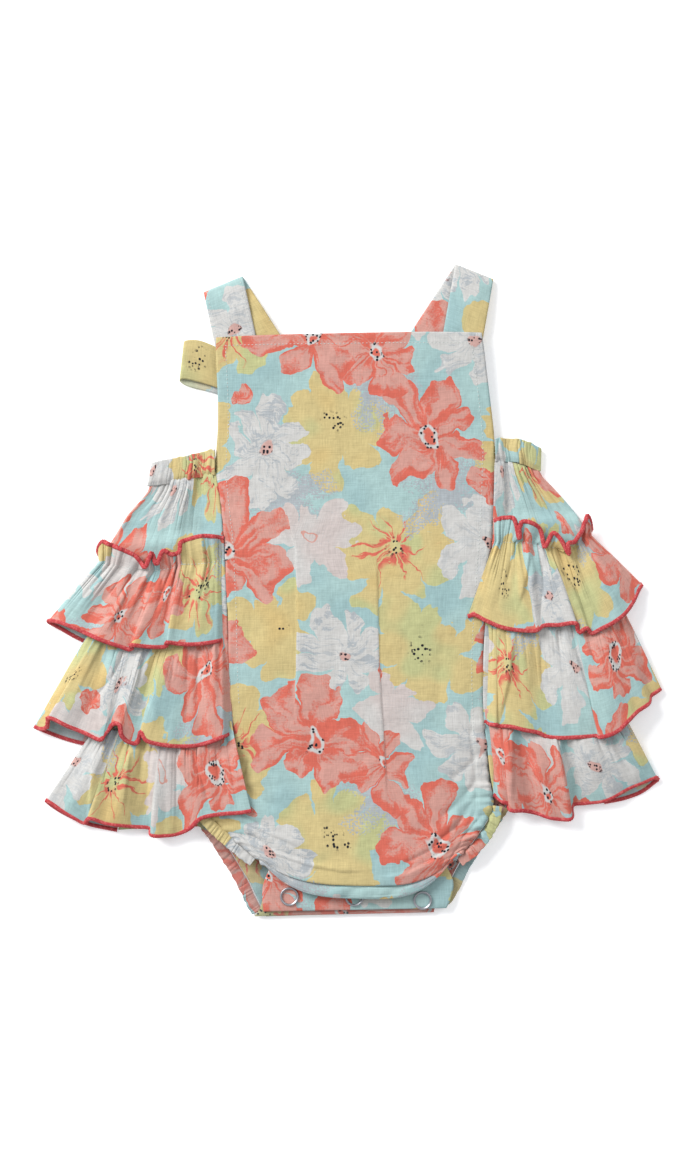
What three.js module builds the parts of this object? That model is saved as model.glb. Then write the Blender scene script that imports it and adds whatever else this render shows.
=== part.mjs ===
// A baby's ruffled sunsuit romper, laid flat with its front up.
// A square bib runs down into the front body. Gathered side panels with elastic waist casings wrap
// round to the back, three tiers of ruffles go round each side, straps fold over at the top, and the
// crotch closes with ring snaps. Millimetres: X to the right, Y to the neck, Z up from the surface.
import * as THREE from "three";

// Driving sizes.
const wall = 1.0; // one layer of cloth
const seamGap = 0.3; // between pieces that are sewn to each other
const strapWidth = 24.4;
const strapWall = 1.2; // a turned tube of cloth, pressed flat
const casingWall = 1.6; // cloth, elastic and cloth
const bandWall = 1.4; // the snap bands, folded and topstitched
const ring = { radius: 4.95, wire: 0.45 };
const backLevel = 3.3; // the back panel's middle where ruffles lie under it
const floorLevel = wall / 2; // the middle of a layer that lies on the surface
const sideRise = 2.4; // the side panels' middle above the back panel's

const clothColours = { print: 0xa9d6d3, inside: 0xb9cfcc, coral: 0xe07a6c, steel: 0xb9bcc0 };
const garment = new THREE.Group();

function material(colour, roughness = 0.9, metalness = 0) {
  return new THREE.MeshStandardMaterial({ color: colour, roughness, metalness });
}

function add(name, geometry, look) {
  const mesh = new THREE.Mesh(geometry, look);
  mesh.name = name;
  garment.add(mesh);
  return mesh;
}

// Rows of numbers as objects with the named columns.
function table(columns, rows) {
  const names = columns.split(" ");
  return rows.map((row) => Object.fromEntries(names.map((name, i) => [name, row[i]])));
}

// A smooth curve through points, read at s from 0 to 1, with each point the same step of s apart.
function through(points) {
  const curve = new THREE.CatmullRomCurve3(points, false, "centripetal");
  return (s) => curve.getPoint(s);
}

const blend = (a, b, t) => a + (b - a) * t;
const steps = (count) => Array.from({ length: count + 1 }, (_, i) => i / count);

// A closed wall of even thickness about a grid of middle points, rows[j][i].
function sheet(rows, thickness) {
  const down = rows.length;
  const along = rows[0].length;
  const at = (j, i) => rows[Math.min(Math.max(j, 0), down - 1)][Math.min(Math.max(i, 0), along - 1)];
  const positions = [];
  for (const side of [1, -1])
    for (let j = 0; j < down; j++)
      for (let i = 0; i < along; i++) {
        const u = at(j, i + 1).clone().sub(at(j, i - 1));
        const v = at(j + 1, i).clone().sub(at(j - 1, i));
        const normal = u.cross(v).normalize();
        const p = at(j, i).clone().addScaledVector(normal, (side * thickness) / 2);
        positions.push(p.x, p.y, Math.max(p.z, 0)); // nothing goes below the surface it lies on
      }
  const upper = (j, i) => j * along + i;
  const lower = (j, i) => down * along + j * along + i;
  const faces = [];
  const quad = (a, b, c, d) => faces.push(a, b, c, a, c, d);
  for (let j = 0; j < down - 1; j++)
    for (let i = 0; i < along - 1; i++) {
      quad(upper(j, i), upper(j, i + 1), upper(j + 1, i + 1), upper(j + 1, i));
      quad(lower(j, i), lower(j + 1, i), lower(j + 1, i + 1), lower(j, i + 1));
    }
  for (let i = 0; i < along - 1; i++) {
    quad(upper(0, i), lower(0, i), lower(0, i + 1), upper(0, i + 1));
    quad(upper(down - 1, i), upper(down - 1, i + 1), lower(down - 1, i + 1), lower(down - 1, i));
  }
  for (let j = 0; j < down - 1; j++) {
    quad(upper(j, 0), upper(j + 1, 0), lower(j + 1, 0), lower(j, 0));
    quad(upper(j, along - 1), lower(j, along - 1), lower(j + 1, along - 1), upper(j + 1, along - 1));
  }
  return closed(positions, faces);
}

// The geometry of a closed surface, with its faces turned outwards.
function closed(positions, faces) {
  const p = (k) => new THREE.Vector3().fromArray(positions, 3 * k);
  let volume = 0;
  for (let f = 0; f < faces.length; f += 3)
    volume += p(faces[f]).dot(p(faces[f + 1]).cross(p(faces[f + 2])));
  if (volume < 0)
    for (let f = 0; f < faces.length; f += 3)
      [faces[f + 1], faces[f + 2]] = [faces[f + 2], faces[f + 1]];
  const geometry = new THREE.BufferGeometry();
  geometry.setAttribute("position", new THREE.Float32BufferAttribute(positions, 3));
  geometry.setIndex(faces);
  geometry.computeVertexNormals();
  return geometry;
}

const point = (x, y, z) => new THREE.Vector3(x, y, z);
const print = () => material(clothColours.print);

// The front panel: bib, body and the soft fold that hangs over the snap band. Each row is a
// section from the left edge to the right one. sag lowers its middle, and mid and edge are heights.
const frontSections = table("lx ly rx ry sag mid edge", [
  [-76.4, 146.4, 77.0, 149.2, -1.2, 6.8, 6.5],
  [-76.6, 138, 78.4, 139, -0.4, 6.9, 6.4],
  [-76.0, 124, 80.2, 124, 0, 6.8, 5.8],
  [-75.4, 106, 82.4, 106, 0, 6.7, 5.2],
  [-75.6, 92, 84.0, 92, 0, 6.6, 4.8],
  [-76.4, 80, 84.4, 82, 0, 6.5, 4.7],
  [-76.0, 66, 84.0, 70, 0, 6.5, 5.0],
  [-74.0, 50, 83.6, 52, 0, 6.5, 5.5],
  [-72.0, 30, 83.0, 34, 0, 6.9, 6.4],
  [-71.0, 10, 81.0, 12, 0, 7.7, 7.2],
  [-70.0, -10, 79.4, -10, 0, 8.0, 7.2],
  [-69.5, -30, 78.0, -30, 0, 8.0, 7.2],
  [-68.6, -56, 77.6, -56, 0, 8.0, 7.2],
  [-66.4, -82, 78.6, -82, 0, 7.9, 7.2],
  [-66.4, -98, 80.4, -98, 0, 7.9, 7.1],
  [-71.0, -111, 81.4, -110, 0, 8.0, 7.0],
  [-76.6, -122, 82.4, -118, 1, 8.3, 6.9],
  [-79.0, -129, 81.4, -126, 2, 8.6, 6.8],
  [-73.0, -136, 77.4, -134, 4, 9.0, 6.8],
  [-64.8, -143, 72.0, -142, 8, 9.5, 7.0],
  [-56.4, -150, 66.0, -149, 12, 9.8, 7.4],
  [-50.6, -155, 60.6, -154, 16, 9.8, 7.7],
  [-48.4, -157.6, 58.8, -156.2, 18.8, 9.3, 7.5],
  [-47.8, -158.6, 58.2, -157, 19.4, 8.1, 6.9],
  [-48.2, -157.4, 58.6, -156, 18.0, 6.9, 6.2],
  [-49.4, -154, 59.6, -152.6, 13, 6.5, 6.0],
]);
const frontAcross = 12;
const sagPower = 3.4; // how square the hanging fold's curve is
const sagLean = 0.12; // and how much deeper it hangs at the right
const edgePower = 3; // how near its edges a section bends down

function frontPoint(section, t) {
  const side = Math.abs(2 * t - 1);
  const sag = section.sag * (1 - side ** sagPower) * (1 + sagLean * (2 * t - 1));
  const y = blend(section.ly, section.ry, t) - sag;
  const z = blend(section.mid, section.edge, side ** edgePower);
  return point(blend(section.lx, section.rx, t), y, z);
}
add("front_panel", sheet(frontSections.map((s) => steps(frontAcross).map((t) => frontPoint(s, t))), wall), print());

// A side panel runs from the front seam out to the side fold, round it, and a little way under.
// Each row is a section: i is its seam end, o its side fold, and ease how high its gathers stand.
const leftSections = table("ix iy ox oy ease", [
  [-77.0, 66.4, -114.2, 59.8, 0.5],
  [-75.6, 58, -120, 52.5, 0.8],
  [-74.4, 48, -127.5, 44, 0.8],
  [-73.4, 38, -133, 35, 0.6],
  [-72.8, 28, -138, 26, 0.3],
  [-72.0, 16, -142, 16, 0],
  [-71.0, -4, -145, -4, 0],
  [-70.3, -24, -147.8, -24, 0],
  [-69.4, -50, -148.4, -52, 0],
  [-67.2, -80, -145.2, -80, 0],
  [-68.6, -102, -134, -100, 0],
  [-76.8, -118, -112, -116, 0],
  [-82.4, -128, -96, -127, 0],
]);
const rightSections = table("ix iy ox oy ease", [
  [85.0, 74, 109.4, 68.6, 0.5],
  [84.8, 62, 118, 60, 0.8],
  [84.4, 50, 127, 50, 0.8],
  [84.1, 40, 133.2, 42, 0.5],
  [83.8, 29, 138.2, 32, 0],
  [82.0, 12, 145, 14, 0],
  [80.2, -10, 155.2, -7, 0],
  [78.6, -34, 158, -34, 0],
  [78.2, -56, 158, -56, 0],
  [78.6, -72, 155.8, -68, 0],
  [80.6, -90, 144, -92, 0],
  [82.4, -106, 122, -108, 0],
  [84.4, -117, 100, -118, 0],
]);
const backRampLeft = { top: 36, foot: 26 }; // where the back panel climbs onto the ruffles below it
const backRampRight = { top: 47.5, foot: 37.5 };
const gathersAcross = 8;
const turnUnder = 6; // how far a side panel comes back under itself

function backHeight(y, ramp) {
  const t = Math.min(Math.max((ramp.top - y) / (ramp.top - ramp.foot), 0), 1);
  return blend(floorLevel, backLevel, t * t * (3 - 2 * t));
}

function sidePanel(sections, ramp) {
  const outward = Math.sign(sections[0].ox);
  const front = 3 * gathersAcross;
  return sections.map((s) => {
    const low = backHeight(blend(s.iy, s.oy, 0.5), ramp);
    const high = low + sideRise;
    const fold = sideRise / 2;
    const length = Math.abs(s.ox - s.ix) - fold;
    const row = steps(front).map((t) => {
      const wave = s.ease * Math.sin(2 * Math.PI * gathersAcross * t) * Math.sin(Math.PI * t) ** 0.5;
      return point(s.ix + outward * length * t, blend(s.iy, s.oy, t), high + wave);
    });
    const centre = s.ix + outward * length;
    for (const turn of [0.3, 0.5, 0.7, 1]) {
      const a = Math.PI * turn;
      row.push(point(centre + outward * fold * Math.sin(a), s.oy, low + fold + fold * Math.cos(a)));
    }
    row.push(point(centre - outward * turnUnder, s.oy, low));
    return row;
  });
}
add("side_panel_left", sheet(sidePanel(leftSections, backRampLeft), wall), print());
add("side_panel_right", sheet(sidePanel(rightSections, backRampRight), wall), print());

// The back panel joins the side panels' turned-under ends, and narrows to the crotch. Each lower
// row is a section between its left and right ends.
const crotchSections = table("lx ly rx ry z", [
  [-80.4, -131.2, 86.2, -123.4, backLevel],
  [-78.0, -136.4, 80.0, -133, backLevel],
  [-73.4, -142.4, 74.6, -141.4, 2.2],
  [-67.6, -151.6, 67.6, -151.4, floorLevel],
  [-61.6, -161.6, 61.8, -161.6, floorLevel],
  [-57.4, -168.4, 57.6, -169.8, floorLevel],
  [-53.2, -177.4, 51.6, -177.2, floorLevel],
  [-49.6, -184.6, 49.2, -180.6, floorLevel],
  [-47.8, -188.6, 47.8, -185.4, floorLevel],
]);
function flatRow(s, count) {
  return steps(count).map((t) => point(blend(s.lx, s.rx, t), blend(s.ly, s.ry, t), s.z));
}
const leftEnds = sidePanel(leftSections, backRampLeft).map((row) => row.at(-1));
const rightEnds = sidePanel(rightSections, backRampRight).map((row) => row.at(-1));
const backRows = leftEnds.map((l, i) => {
  const r = rightEnds[i];
  return steps(4).map((t) => l.clone().setX(l.x + 2 * seamGap).lerp(r.clone().setX(r.x - 2 * seamGap), t));
});
backRows.push(...crotchSections.map((s) => flatRow(s, 4)));
add("back_panel", sheet(backRows, wall), material(clothColours.inside));

// The elastic casings at the waist. Each row is a place along the casing: t its top, b its foot.
const leftCasing = table("tx ty bx by z", [
  [-77.2, 82.2, -77.2, 67.2, 3.8],
  [-84, 80.6, -84, 66.2, 3.8],
  [-92, 78.6, -92, 64.6, 3.8],
  [-100, 77, -100, 63, 3.8],
  [-107, 75.8, -108.4, 61.4, 3.8],
  [-112, 74.6, -114.4, 60.8, 3.6],
  [-113.2, 74.2, -115.7, 60.7, 3.1],
  [-113.6, 74, -116.1, 60.6, 2.3],
  [-113.2, 74, -115.7, 60.6, 1.4],
  [-112, 74.2, -114.4, 60.6, 0.8],
  [-106, 75, -107, 60.6, 0.8],
  [-99, 76, -100, 61, 0.8],
]);
const rightCasing = table("tx ty bx by z", [
  [85, 88.4, 85, 75, 3.8],
  [92, 88.2, 92, 74.8, 3.8],
  [100, 87.6, 100, 73.6, 3.8],
  [106, 85.4, 105.4, 71.4, 3.8],
  [109.6, 83.4, 109.2, 69.8, 3.6],
  [110.8, 82.8, 110.4, 69.5, 3.1],
  [111.2, 82.4, 110.8, 69.4, 2.3],
  [110.8, 82.4, 110.4, 69.4, 1.4],
  [109.6, 82.6, 109.2, 69.4, 0.8],
  [105, 83.4, 104, 69.6, 0.8],
  [99, 84.4, 98, 70, 0.8],
]);
const casingRidge = { height: 0.3, perRow: 1 }; // small gathers in the elastic

function casing(places) {
  const top = through(places.map((p) => point(p.tx, p.ty, p.z)));
  const foot = through(places.map((p) => point(p.bx, p.by, p.z)));
  const along = steps(4 * (places.length - 1));
  return steps(2).map((v) =>
    along.map((s) => {
      const p = top(s).lerp(foot(s), v);
      const onTop = Math.min(Math.max(5 * (p.z - 3.6), 0), 1);
      p.z += casingRidge.height * onTop * Math.sin(2 * Math.PI * casingRidge.perRow * s * (places.length - 1));
      return p;
    }),
  );
}
add("waist_casing_left", sheet(casing(leftCasing), casingWall), print());
add("waist_casing_right", sheet(casing(rightCasing), casingWall), print());
const backCasing = table("lx ly rx ry z", [
  [-98.6, 76.2, 98.6, 84.4, casingWall / 2],
  [-99.6, 61.2, 97.6, 70, casingWall / 2],
]);
add("waist_casing_back", sheet(backCasing.map((s) => flatRow(s, 6)), casingWall), print());

// A ruffle is one strip, gathered onto the body and loose at its hem. Each row is a fold line
// from e, the frill above the stitching, over g, the gathered line, to h, the hem.
const headerLevels = [-1, -0.5];
const skirtLevels = [0, 0.22, 0.48, 0.75, 1];
const puff = { share: 0.3, above: 2.4 }; // how far a skirt arches between its gathers and its hem

function ruffle(folds, perFold = 2) {
  const line = (x, y, z) => through(folds.map((f) => point(f[x], f[y], f[z])));
  const gather = line("gx", "gy", "gz");
  const hem = line("hx", "hy", "hz");
  const frill = folds[0].ex === undefined ? null : line("ex", "ey", "ez");
  const along = steps(perFold * (folds.length - 1));
  const rows = skirtLevels.map((v) =>
    along.map((s) => {
      const g = gather(s);
      const p = g.clone().lerp(hem(s), v);
      const front = Math.min(Math.max((g.z - puff.above) / 2, 0), 1);
      const fall = blend((1 - v) ** 1.4, 1 - v ** 2, front);
      p.z = blend(hem(s).z, g.z, fall) + front * puff.share * (g.z - puff.above) * Math.sin(Math.PI * v);
      return p;
    }),
  );
  if (frill) rows.unshift(...headerLevels.map((v) => along.map((s) => gather(s).lerp(frill(s), -v))));
  return rows;
}

const withFrill = "ex ey ez gx gy gz hx hy hz";
const plainHem = "gx gy gz hx hy hz";
const ruffles = {
  ruffle_1_left: table(withFrill, [
    [-72.6, 30.5, 8.6, -72.2, 18, 7.3, -70.6, -27.4, 9.8],
    [-78, 31.4, 9.6, -77, 17, 7.3, -79, -29.4, 10.8],
    [-85, 31.6, 10, -83, 16, 7.3, -90, -30.6, 11.6],
    [-92, 29.8, 9.6, -90, 15.5, 7.3, -98, -30.2, 12.4],
    [-97, 27.6, 8.8, -95.6, 15.5, 7.3, -104.2, -29.6, 12.8],
    [-98, 22.4, 9.6, -97.6, 15, 7.3, -105.4, -31.8, 10.4],
    [-102, 21.2, 9.4, -101, 13.5, 7.3, -114, -32, 11.4],
    [-107, 23, 10.6, -106, 12.4, 7.3, -124.2, -31.2, 12.6],
    [-111, 18.5, 10.4, -110, 12, 7.3, -125.6, -33.6, 10.4],
    [-115, 24, 10.6, -114, 12, 7.3, -132, -31.6, 10.8],
    [-118, 16.5, 10.8, -119, 12.2, 7.3, -141, -28.6, 11.4],
    [-122.6, 20, 9.4, -126, 13, 7.2, -150, -24.8, 10.4],
    [-130, 23.8, 8.8, -133, 14.4, 6.9, -158, -21.2, 8.6],
    [-138, 27, 8.6, -139, 15.8, 7.1, -166, -18.2, 6.6],
    [-142, 28.4, 7.2, -142.2, 16.8, 6.6, -171, -17.2, 4.8],
    [-144.8, 23.5, 4.4, -144.2, 17, 4.3, -173.6, -17.6, 2.8],
    [-142.4, 19, 2, -142.2, 16, 2, -168, -20.8, 0.8],
    [-136, 17, 2, -136, 14, 2, -154, -28.4, 0.5],
    [-126, 16, 2, -126, 13, 2, -140, -32, 0.5],
  ]),
  ruffle_1_right: table(withFrill, [
    [83.8, 40.2, 8.6, 84.4, 29, 7.3, 68.6, -14.6, 9.4],
    [87, 41.6, 9.6, 86.5, 28.6, 7.4, 72.5, -13.6, 10.6],
    [91, 42.2, 10, 89.5, 28.2, 7.4, 79, -16.8, 11.2],
    [95.4, 41.4, 10.4, 92.6, 28, 7.4, 87, -20.3, 11.6],
    [96.8, 36.6, 9.2, 95.4, 28, 7.4, 96, -22.2, 11],
    [98.6, 39.8, 10.2, 98.2, 28, 7.4, 106.5, -22.8, 11.6],
    [104, 39.8, 10.8, 102, 27.8, 7.4, 108.8, -22.2, 11.8],
    [110, 36, 10, 106, 27.4, 7.4, 112.5, -19.8, 10.6],
    [114.4, 31.4, 9.2, 110, 27, 7.4, 121, -19.4, 11.4],
    [117.5, 34, 10.4, 114, 26, 7.4, 130.6, -18.6, 12.6],
    [121.6, 31.4, 11, 118, 25, 7.4, 132.8, -23.6, 10.6],
    [124.6, 28.4, 11.8, 121.4, 24.4, 7.4, 137, -21.4, 12],
    [127.6, 26.6, 11.6, 124.8, 24, 7.4, 140, -24.2, 10.8],
    [130, 29.6, 10, 128, 25, 7.3, 145.4, -21.6, 11.4],
    [133, 32.6, 10.2, 131.6, 27, 7.2, 153, -17.6, 10.6],
    [135.8, 38, 9.8, 134.8, 29.6, 7.1, 160, -12, 9.2],
    [137, 42, 8.8, 137.4, 31, 6.9, 164.4, -5.8, 7.4],
    [138.4, 43.2, 6.8, 139.2, 31.8, 6, 167.4, 0, 5.4],
    [140.4, 36.4, 4.4, 140.2, 32, 4.3, 169.4, 3.8, 3],
    [138.4, 34, 2.3, 138.2, 31, 2.2, 164, -2, 0.8],
    [131, 31, 2, 131, 28, 2, 154, -10, 0.5],
    [121, 30, 2, 121, 27, 2, 142, -16, 0.5],
  ]),
  ruffle_2_left: table(plainHem, [
    [-70.8, -20, 7.3, -67.2, -81.2, 10.6],
    [-74, -21, 7.3, -73, -84, 10.8],
    [-79, -21.5, 7.3, -81, -87.2, 10.8],
    [-84, -22, 7.3, -89, -89, 10.2],
    [-90, -22.5, 7.3, -99, -89.2, 10.6],
    [-96, -23, 7.3, -109, -88, 11.6],
    [-101, -23, 7.3, -116.5, -85.6, 12.4],
    [-104.5, -23, 7.4, -119.4, -81, 12.6],
    [-107, -23, 7.3, -121.8, -87.4, 10.2],
    [-110, -23.4, 7.3, -127, -86.6, 10.6],
    [-114, -23.6, 7.3, -130.8, -82.6, 11.6],
    [-118, -24, 7.3, -132, -76.6, 12.6],
    [-121, -24, 7.3, -135.6, -76.6, 12.4],
    [-125, -24.2, 7.3, -139.4, -81.4, 11],
    [-129, -24.4, 7.3, -142.4, -85.4, 10.2],
    [-133, -24.6, 7.3, -151, -82, 10.6],
    [-138, -24.6, 7.3, -161, -78, 10],
    [-143, -24.4, 7.2, -172.6, -73.2, 9.2],
    [-146.6, -24.2, 7, -174.6, -79, 5.6],
    [-148.8, -24, 6, -178, -79.6, 4.2],
    [-149.6, -24, 4.4, -181.6, -78.4, 2.6],
    [-147.2, -24.4, 2.2, -176, -81, 0.8],
    [-141, -25, 2, -163, -85.8, 0.5],
    [-131, -25, 2, -148, -89.6, 0.5],
  ]),
  ruffle_2_right: table(plainHem, [
    [79.8, -13, 7.3, 79, -75.2, 9.2],
    [82, -13, 7.3, 82, -76.6, 10.6],
    [84.6, -13, 7.3, 85, -77, 11.4],
    [86.2, -13, 7.3, 86.2, -77.6, 9.8],
    [91, -13, 7.3, 93, -77.8, 10.2],
    [97, -13.2, 7.3, 101, -79.8, 10.6],
    [103, -13.4, 7.3, 109, -81.4, 10],
    [109, -13.6, 7.3, 114, -83.6, 10.6],
    [115, -13.6, 7.3, 122, -84.4, 11],
    [121, -13.4, 7.3, 131, -84.1, 10.4],
    [125, -13, 7.3, 139, -83.6, 9.8],
    [128, -12.6, 7.3, 143.6, -83.2, 9.8],
    [129.6, -12.4, 7.4, 144.6, -83.8, 12.2],
    [133, -11.6, 7.3, 149, -83, 12.2],
    [138, -10.6, 7.3, 155, -80.2, 11.4],
    [143, -9.4, 7.3, 160.4, -75.2, 10.4],
    [147, -8.4, 7.2, 166, -69.6, 9.8],
    [150.6, -7.6, 7.2, 173.2, -64.6, 8.8],
    [154, -7, 7, 174.8, -60.6, 5.6],
    [156, -6.6, 6, 177.6, -58.6, 4],
    [156.9, -6.6, 4.4, 180.8, -56.4, 2.6],
    [154.6, -7.2, 2.2, 174, -60.4, 0.8],
    [149, -8.6, 2, 162, -66, 0.5],
    [139, -10, 2, 148, -72, 0.5],
  ]),
  ruffle_3_left: table(plainHem, [
    [-67.8, -75, 8.5, -56, -126.4, 9.8],
    [-72, -76, 8, -63, -127.6, 10],
    [-77, -77, 7.4, -71, -128.2, 9.8],
    [-82, -78, 7.3, -79, -129.2, 9.2],
    [-87, -78.6, 7.3, -85.4, -131, 8.4],
    [-92, -79, 7.3, -91, -136.4, 6.8],
    [-97, -79, 7.3, -97.6, -139.8, 5],
    [-102, -79.2, 7.3, -105, -141, 5.4],
    [-106.6, -79.4, 7.3, -113.6, -140.6, 6],
    [-108.4, -79.4, 7.3, -114.8, -137.2, 3.8],
    [-114, -79.6, 7.3, -123, -136.2, 4.4],
    [-120, -79.8, 7.3, -132, -135, 5.4],
    [-125.4, -80, 7.3, -141, -133.8, 5],
    [-130.6, -80, 7.3, -149.4, -131.2, 6.4],
    [-133.4, -80, 7.3, -152.6, -134, 3.8],
    [-138, -80, 7.2, -159.6, -130.4, 3.9],
    [-142, -80, 7.1, -167, -125.8, 3.7],
    [-145, -80, 6.6, -172.4, -122.2, 3.3],
    [-147, -80.4, 4.4, -174.9, -121.2, 2.1],
    [-145, -81, 2.2, -172.4, -123.6, 0.8],
    [-142.6, -81.6, 2, -166, -127.8, 0.5],
    [-138, -82, 2, -152, -134.4, 0.5],
    [-128, -83, 2, -134, -138.4, 0.5],
  ]),
  ruffle_3_right: table(plainHem, [
    [79.2, -68, 7.3, 84.4, -117.6, 8.2],
    [83, -68.4, 7.3, 88.6, -121.2, 8.6],
    [87, -69, 7.3, 92.6, -122.8, 7.4],
    [88.8, -69, 7.4, 93.6, -126, 8.8],
    [94, -69.4, 7.3, 101, -126.6, 7.8],
    [100, -70.4, 7.3, 109, -128.4, 6.2],
    [106, -71.6, 7.3, 116, -130.6, 5.6],
    [112, -73, 7.3, 123, -131.6, 5.6],
    [117, -74, 7.4, 128.4, -131, 6],
    [118.8, -74.2, 7.3, 129.4, -124, 3.6],
    [124, -74.8, 7.3, 137, -122.6, 3.8],
    [130, -75, 7.3, 147, -121.2, 4.4],
    [137, -75, 7.2, 153, -118.6, 5],
    [144, -73.6, 7.2, 162, -113.8, 4.6],
    [150, -71.4, 7.1, 171, -110.2, 4],
    [154.6, -69.4, 6.9, 175, -108.6, 3.8],
    [156.8, -68.8, 5.8, 177.8, -108, 3.5],
    [157.4, -68.4, 4.4, 178.9, -109, 2.2],
    [156.6, -68.6, 2.8, 177.4, -110.4, 0.9],
    [153, -69.4, 2, 170, -116, 0.5],
    [150, -70, 2, 161, -119.6, 0.5],
    [140, -72, 2, 148, -122.4, 0.5],
  ]),
};
for (const [name, folds] of Object.entries(ruffles)) add(name, sheet(ruffle(folds), wall), print());

// The ruffles go on across the back, pressed flat under the body, between the ends of the front ones.
for (const tier of [1, 2, 3]) {
  const left = ruffles[`ruffle_${tier}_left`].at(-1);
  const right = ruffles[`ruffle_${tier}_right`].at(-1);
  const rows = skirtLevels.map((v) =>
    steps(8).map((t) => {
      const inset = seamGap + 0.3;
      const x = blend(blend(left.gx, left.hx, v) + inset, blend(right.gx, right.hx, v) - inset, t);
      const y = blend(blend(left.gy, left.hy, v), blend(right.gy, right.hy, v), t);
      const sway = -3 * v * Math.sin(Math.PI * t) ** 2;
      return point(x, y + sway, blend(left.hz, left.gz, (1 - v) ** 1.4));
    }),
  );
  add(`ruffle_${tier}_back`, sheet(rows, wall), print());
}

// Elastic casings round the leg openings. Each row is a place on the opening's edge.
const casingRun = { width: 6.4, ridge: 0.35, perRow: 1.5 };
const legEdges = {
  leg_casing_front_left: table("x y z", [
    [-86.6, -132.4, 6.4],
    [-79, -140.4, 6],
    [-70, -148.2, 5.8],
    [-62, -154.8, 5.9],
    [-57, -158.6, 6],
  ]),
  leg_casing_front_right: table("x y z", [
    [88.8, -124.4, 6.4],
    [88, -131, 6.2],
    [84.6, -138.6, 6],
    [79.2, -146.8, 5.8],
    [72.8, -153.6, 5.7],
    [65.8, -158.6, 5.6],
  ]),
  leg_casing_back_left: table("x y z", [
    [-88.2, -134.2, 3],
    [-84, -139.2, 2.9],
    [-79.6, -145.2, 2.1],
    [-74, -154.4, 0.8],
    [-68, -164.2, 0.8],
    [-64, -171, 0.8],
    [-60, -179.8, 0.8],
    [-56, -187.4, 0.8],
  ]),
  leg_casing_back_right: table("x y z", [
    [92.6, -126.2, 3],
    [86.4, -136, 2.9],
    [80.8, -144.4, 2.1],
    [74, -154.4, 0.8],
    [68, -164.6, 0.8],
    [63.6, -173.2, 0.8],
    [59.6, -180.2, 0.8],
    [54.6, -184, 0.8],
  ]),
};
function legCasing(places) {
  const edge = through(places.map((p) => point(p.x, p.y, p.z)));
  const lean = Math.sign(places[0].x);
  const count = 4 * (places.length - 1);
  const along = steps(count);
  const inward = (s) => {
    const ahead = edge(Math.min(s + 0.02, 1)).sub(edge(Math.max(s - 0.02, 0)));
    return point(ahead.y, -ahead.x, 0).normalize().multiplyScalar(lean);
  };
  const raised = places[0].z > casingWall; // the front ones puff, the back ones lie on the surface
  return [0, 0.5, 1].map((v) =>
    along.map((s) => {
      const p = edge(s).addScaledVector(inward(s), casingRun.width * v);
      const swell = Math.sin(2 * Math.PI * casingRun.perRow * s * (places.length - 1));
      p.z += raised ? casingRun.ridge * swell * (1 - 0.5 * v) : 0;
      return p;
    }),
  );
}
for (const [name, places] of Object.entries(legEdges)) {
  const look = name.includes("back") ? material(clothColours.coral) : print();
  add(name, sheet(legCasing(places), name.includes("back") ? casingWall : 1.4), look);
}

// The snap bands at the crotch: the back one lies on the back panel, the front one on top of it.
const backBandLevel = wall + seamGap + bandWall / 2;
const frontBandLevel = backBandLevel + bandWall + seamGap;
const backBand = table("lx ly rx ry z", [
  [-49, -168, 54, -167, backBandLevel],
  [-49.6, -178, 50.8, -177, backBandLevel],
  [-48.8, -188.4, 48.4, -186, backBandLevel],
]);
const frontBand = table("lx ly rx ry z", [
  [-45.6, -160, 56, -158, frontBandLevel],
  [-49.4, -170, 60.6, -168, frontBandLevel],
  [-49.8, -178, 59.6, -177, frontBandLevel],
  [-49.2, -185.4, 56.6, -183.4, frontBandLevel],
]);
add("snap_band_back", sheet(backBand.map((s) => flatRow(s, 6)), bandWall), material(clothColours.coral));
add("snap_band_front", sheet(frontBand.map((s) => flatRow(s, 6)), bandWall), print());

// Three ring snaps on the front band.
const snapPlaces = table("x y", [
  [-34.2, -176.6],
  [3.4, -176.8],
  [42.8, -178.8],
]);
const wireSection = steps(6).map((t) => {
  const a = 2 * Math.PI * t;
  return new THREE.Vector2(ring.radius + ring.wire * Math.cos(a), ring.wire * Math.sin(a));
});
snapPlaces.forEach((place, i) => {
  const snap = new THREE.LatheGeometry(wireSection, 20).rotateX(Math.PI / 2);
  const mesh = add(`snap_ring_${i + 1}`, snap, material(clothColours.steel, 0.35, 1));
  mesh.position.set(place.x, place.y, frontBandLevel + bandWall / 2 + seamGap + ring.wire);
});

// The straps: up from under the bib's corner, folded over, and down behind to the back waist.
// a and b are the ends of the fold, front and back the ways the two legs run from it.
const straps = {
  strap_left: {
    a: [-83.8, 172.8],
    b: [-61.2, 182.1],
    front: [0.215, -0.977],
    back: [0.54, -0.842],
    frontRun: table("t z", [[36, 4.8], [28, 4.7], [14, 4], [1, 2.5]]),
    backRun: table("t z", [[1, 0.6], [8, 1.2], [22, 3.1], [50, 3.2], [66, 3.4], [98, 3.4], [122, 2.7]]),
  },
  strap_right: {
    a: [83.8, 180.4],
    b: [61.8, 189.1],
    front: [-0.175, -0.985],
    back: [-0.546, -0.838],
    frontRun: table("t z", [[42, 5], [30, 5], [14, 4.2], [1, 2.5]]),
    backRun: table("t z", [[1, 0.6], [8, 1.1], [24, 3.1], [40, 3.4], [72, 3.4], [90, 3.8], [104, 4.7], [130, 4.3]]),
  },
};
function strap({ a, b, front, back, frontRun, backRun }) {
  const leg = (end, way, t, z) => point(end[0] + way[0] * t, end[1] + way[1] * t, z);
  const across = (way, t, z) => steps(3).map((w) => leg(a, way, t, z).lerp(leg(b, way, t, z), w));
  const rows = frontRun.map(({ t, z }) => across(front, t, z));
  rows.push(across(front, 0, 1.55));
  for (const { t, z } of backRun) rows.push(across(back, t, z));
  return rows;
}
for (const [name, plan] of Object.entries(straps)) add(name, sheet(strap(plan), strapWall), print());

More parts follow.
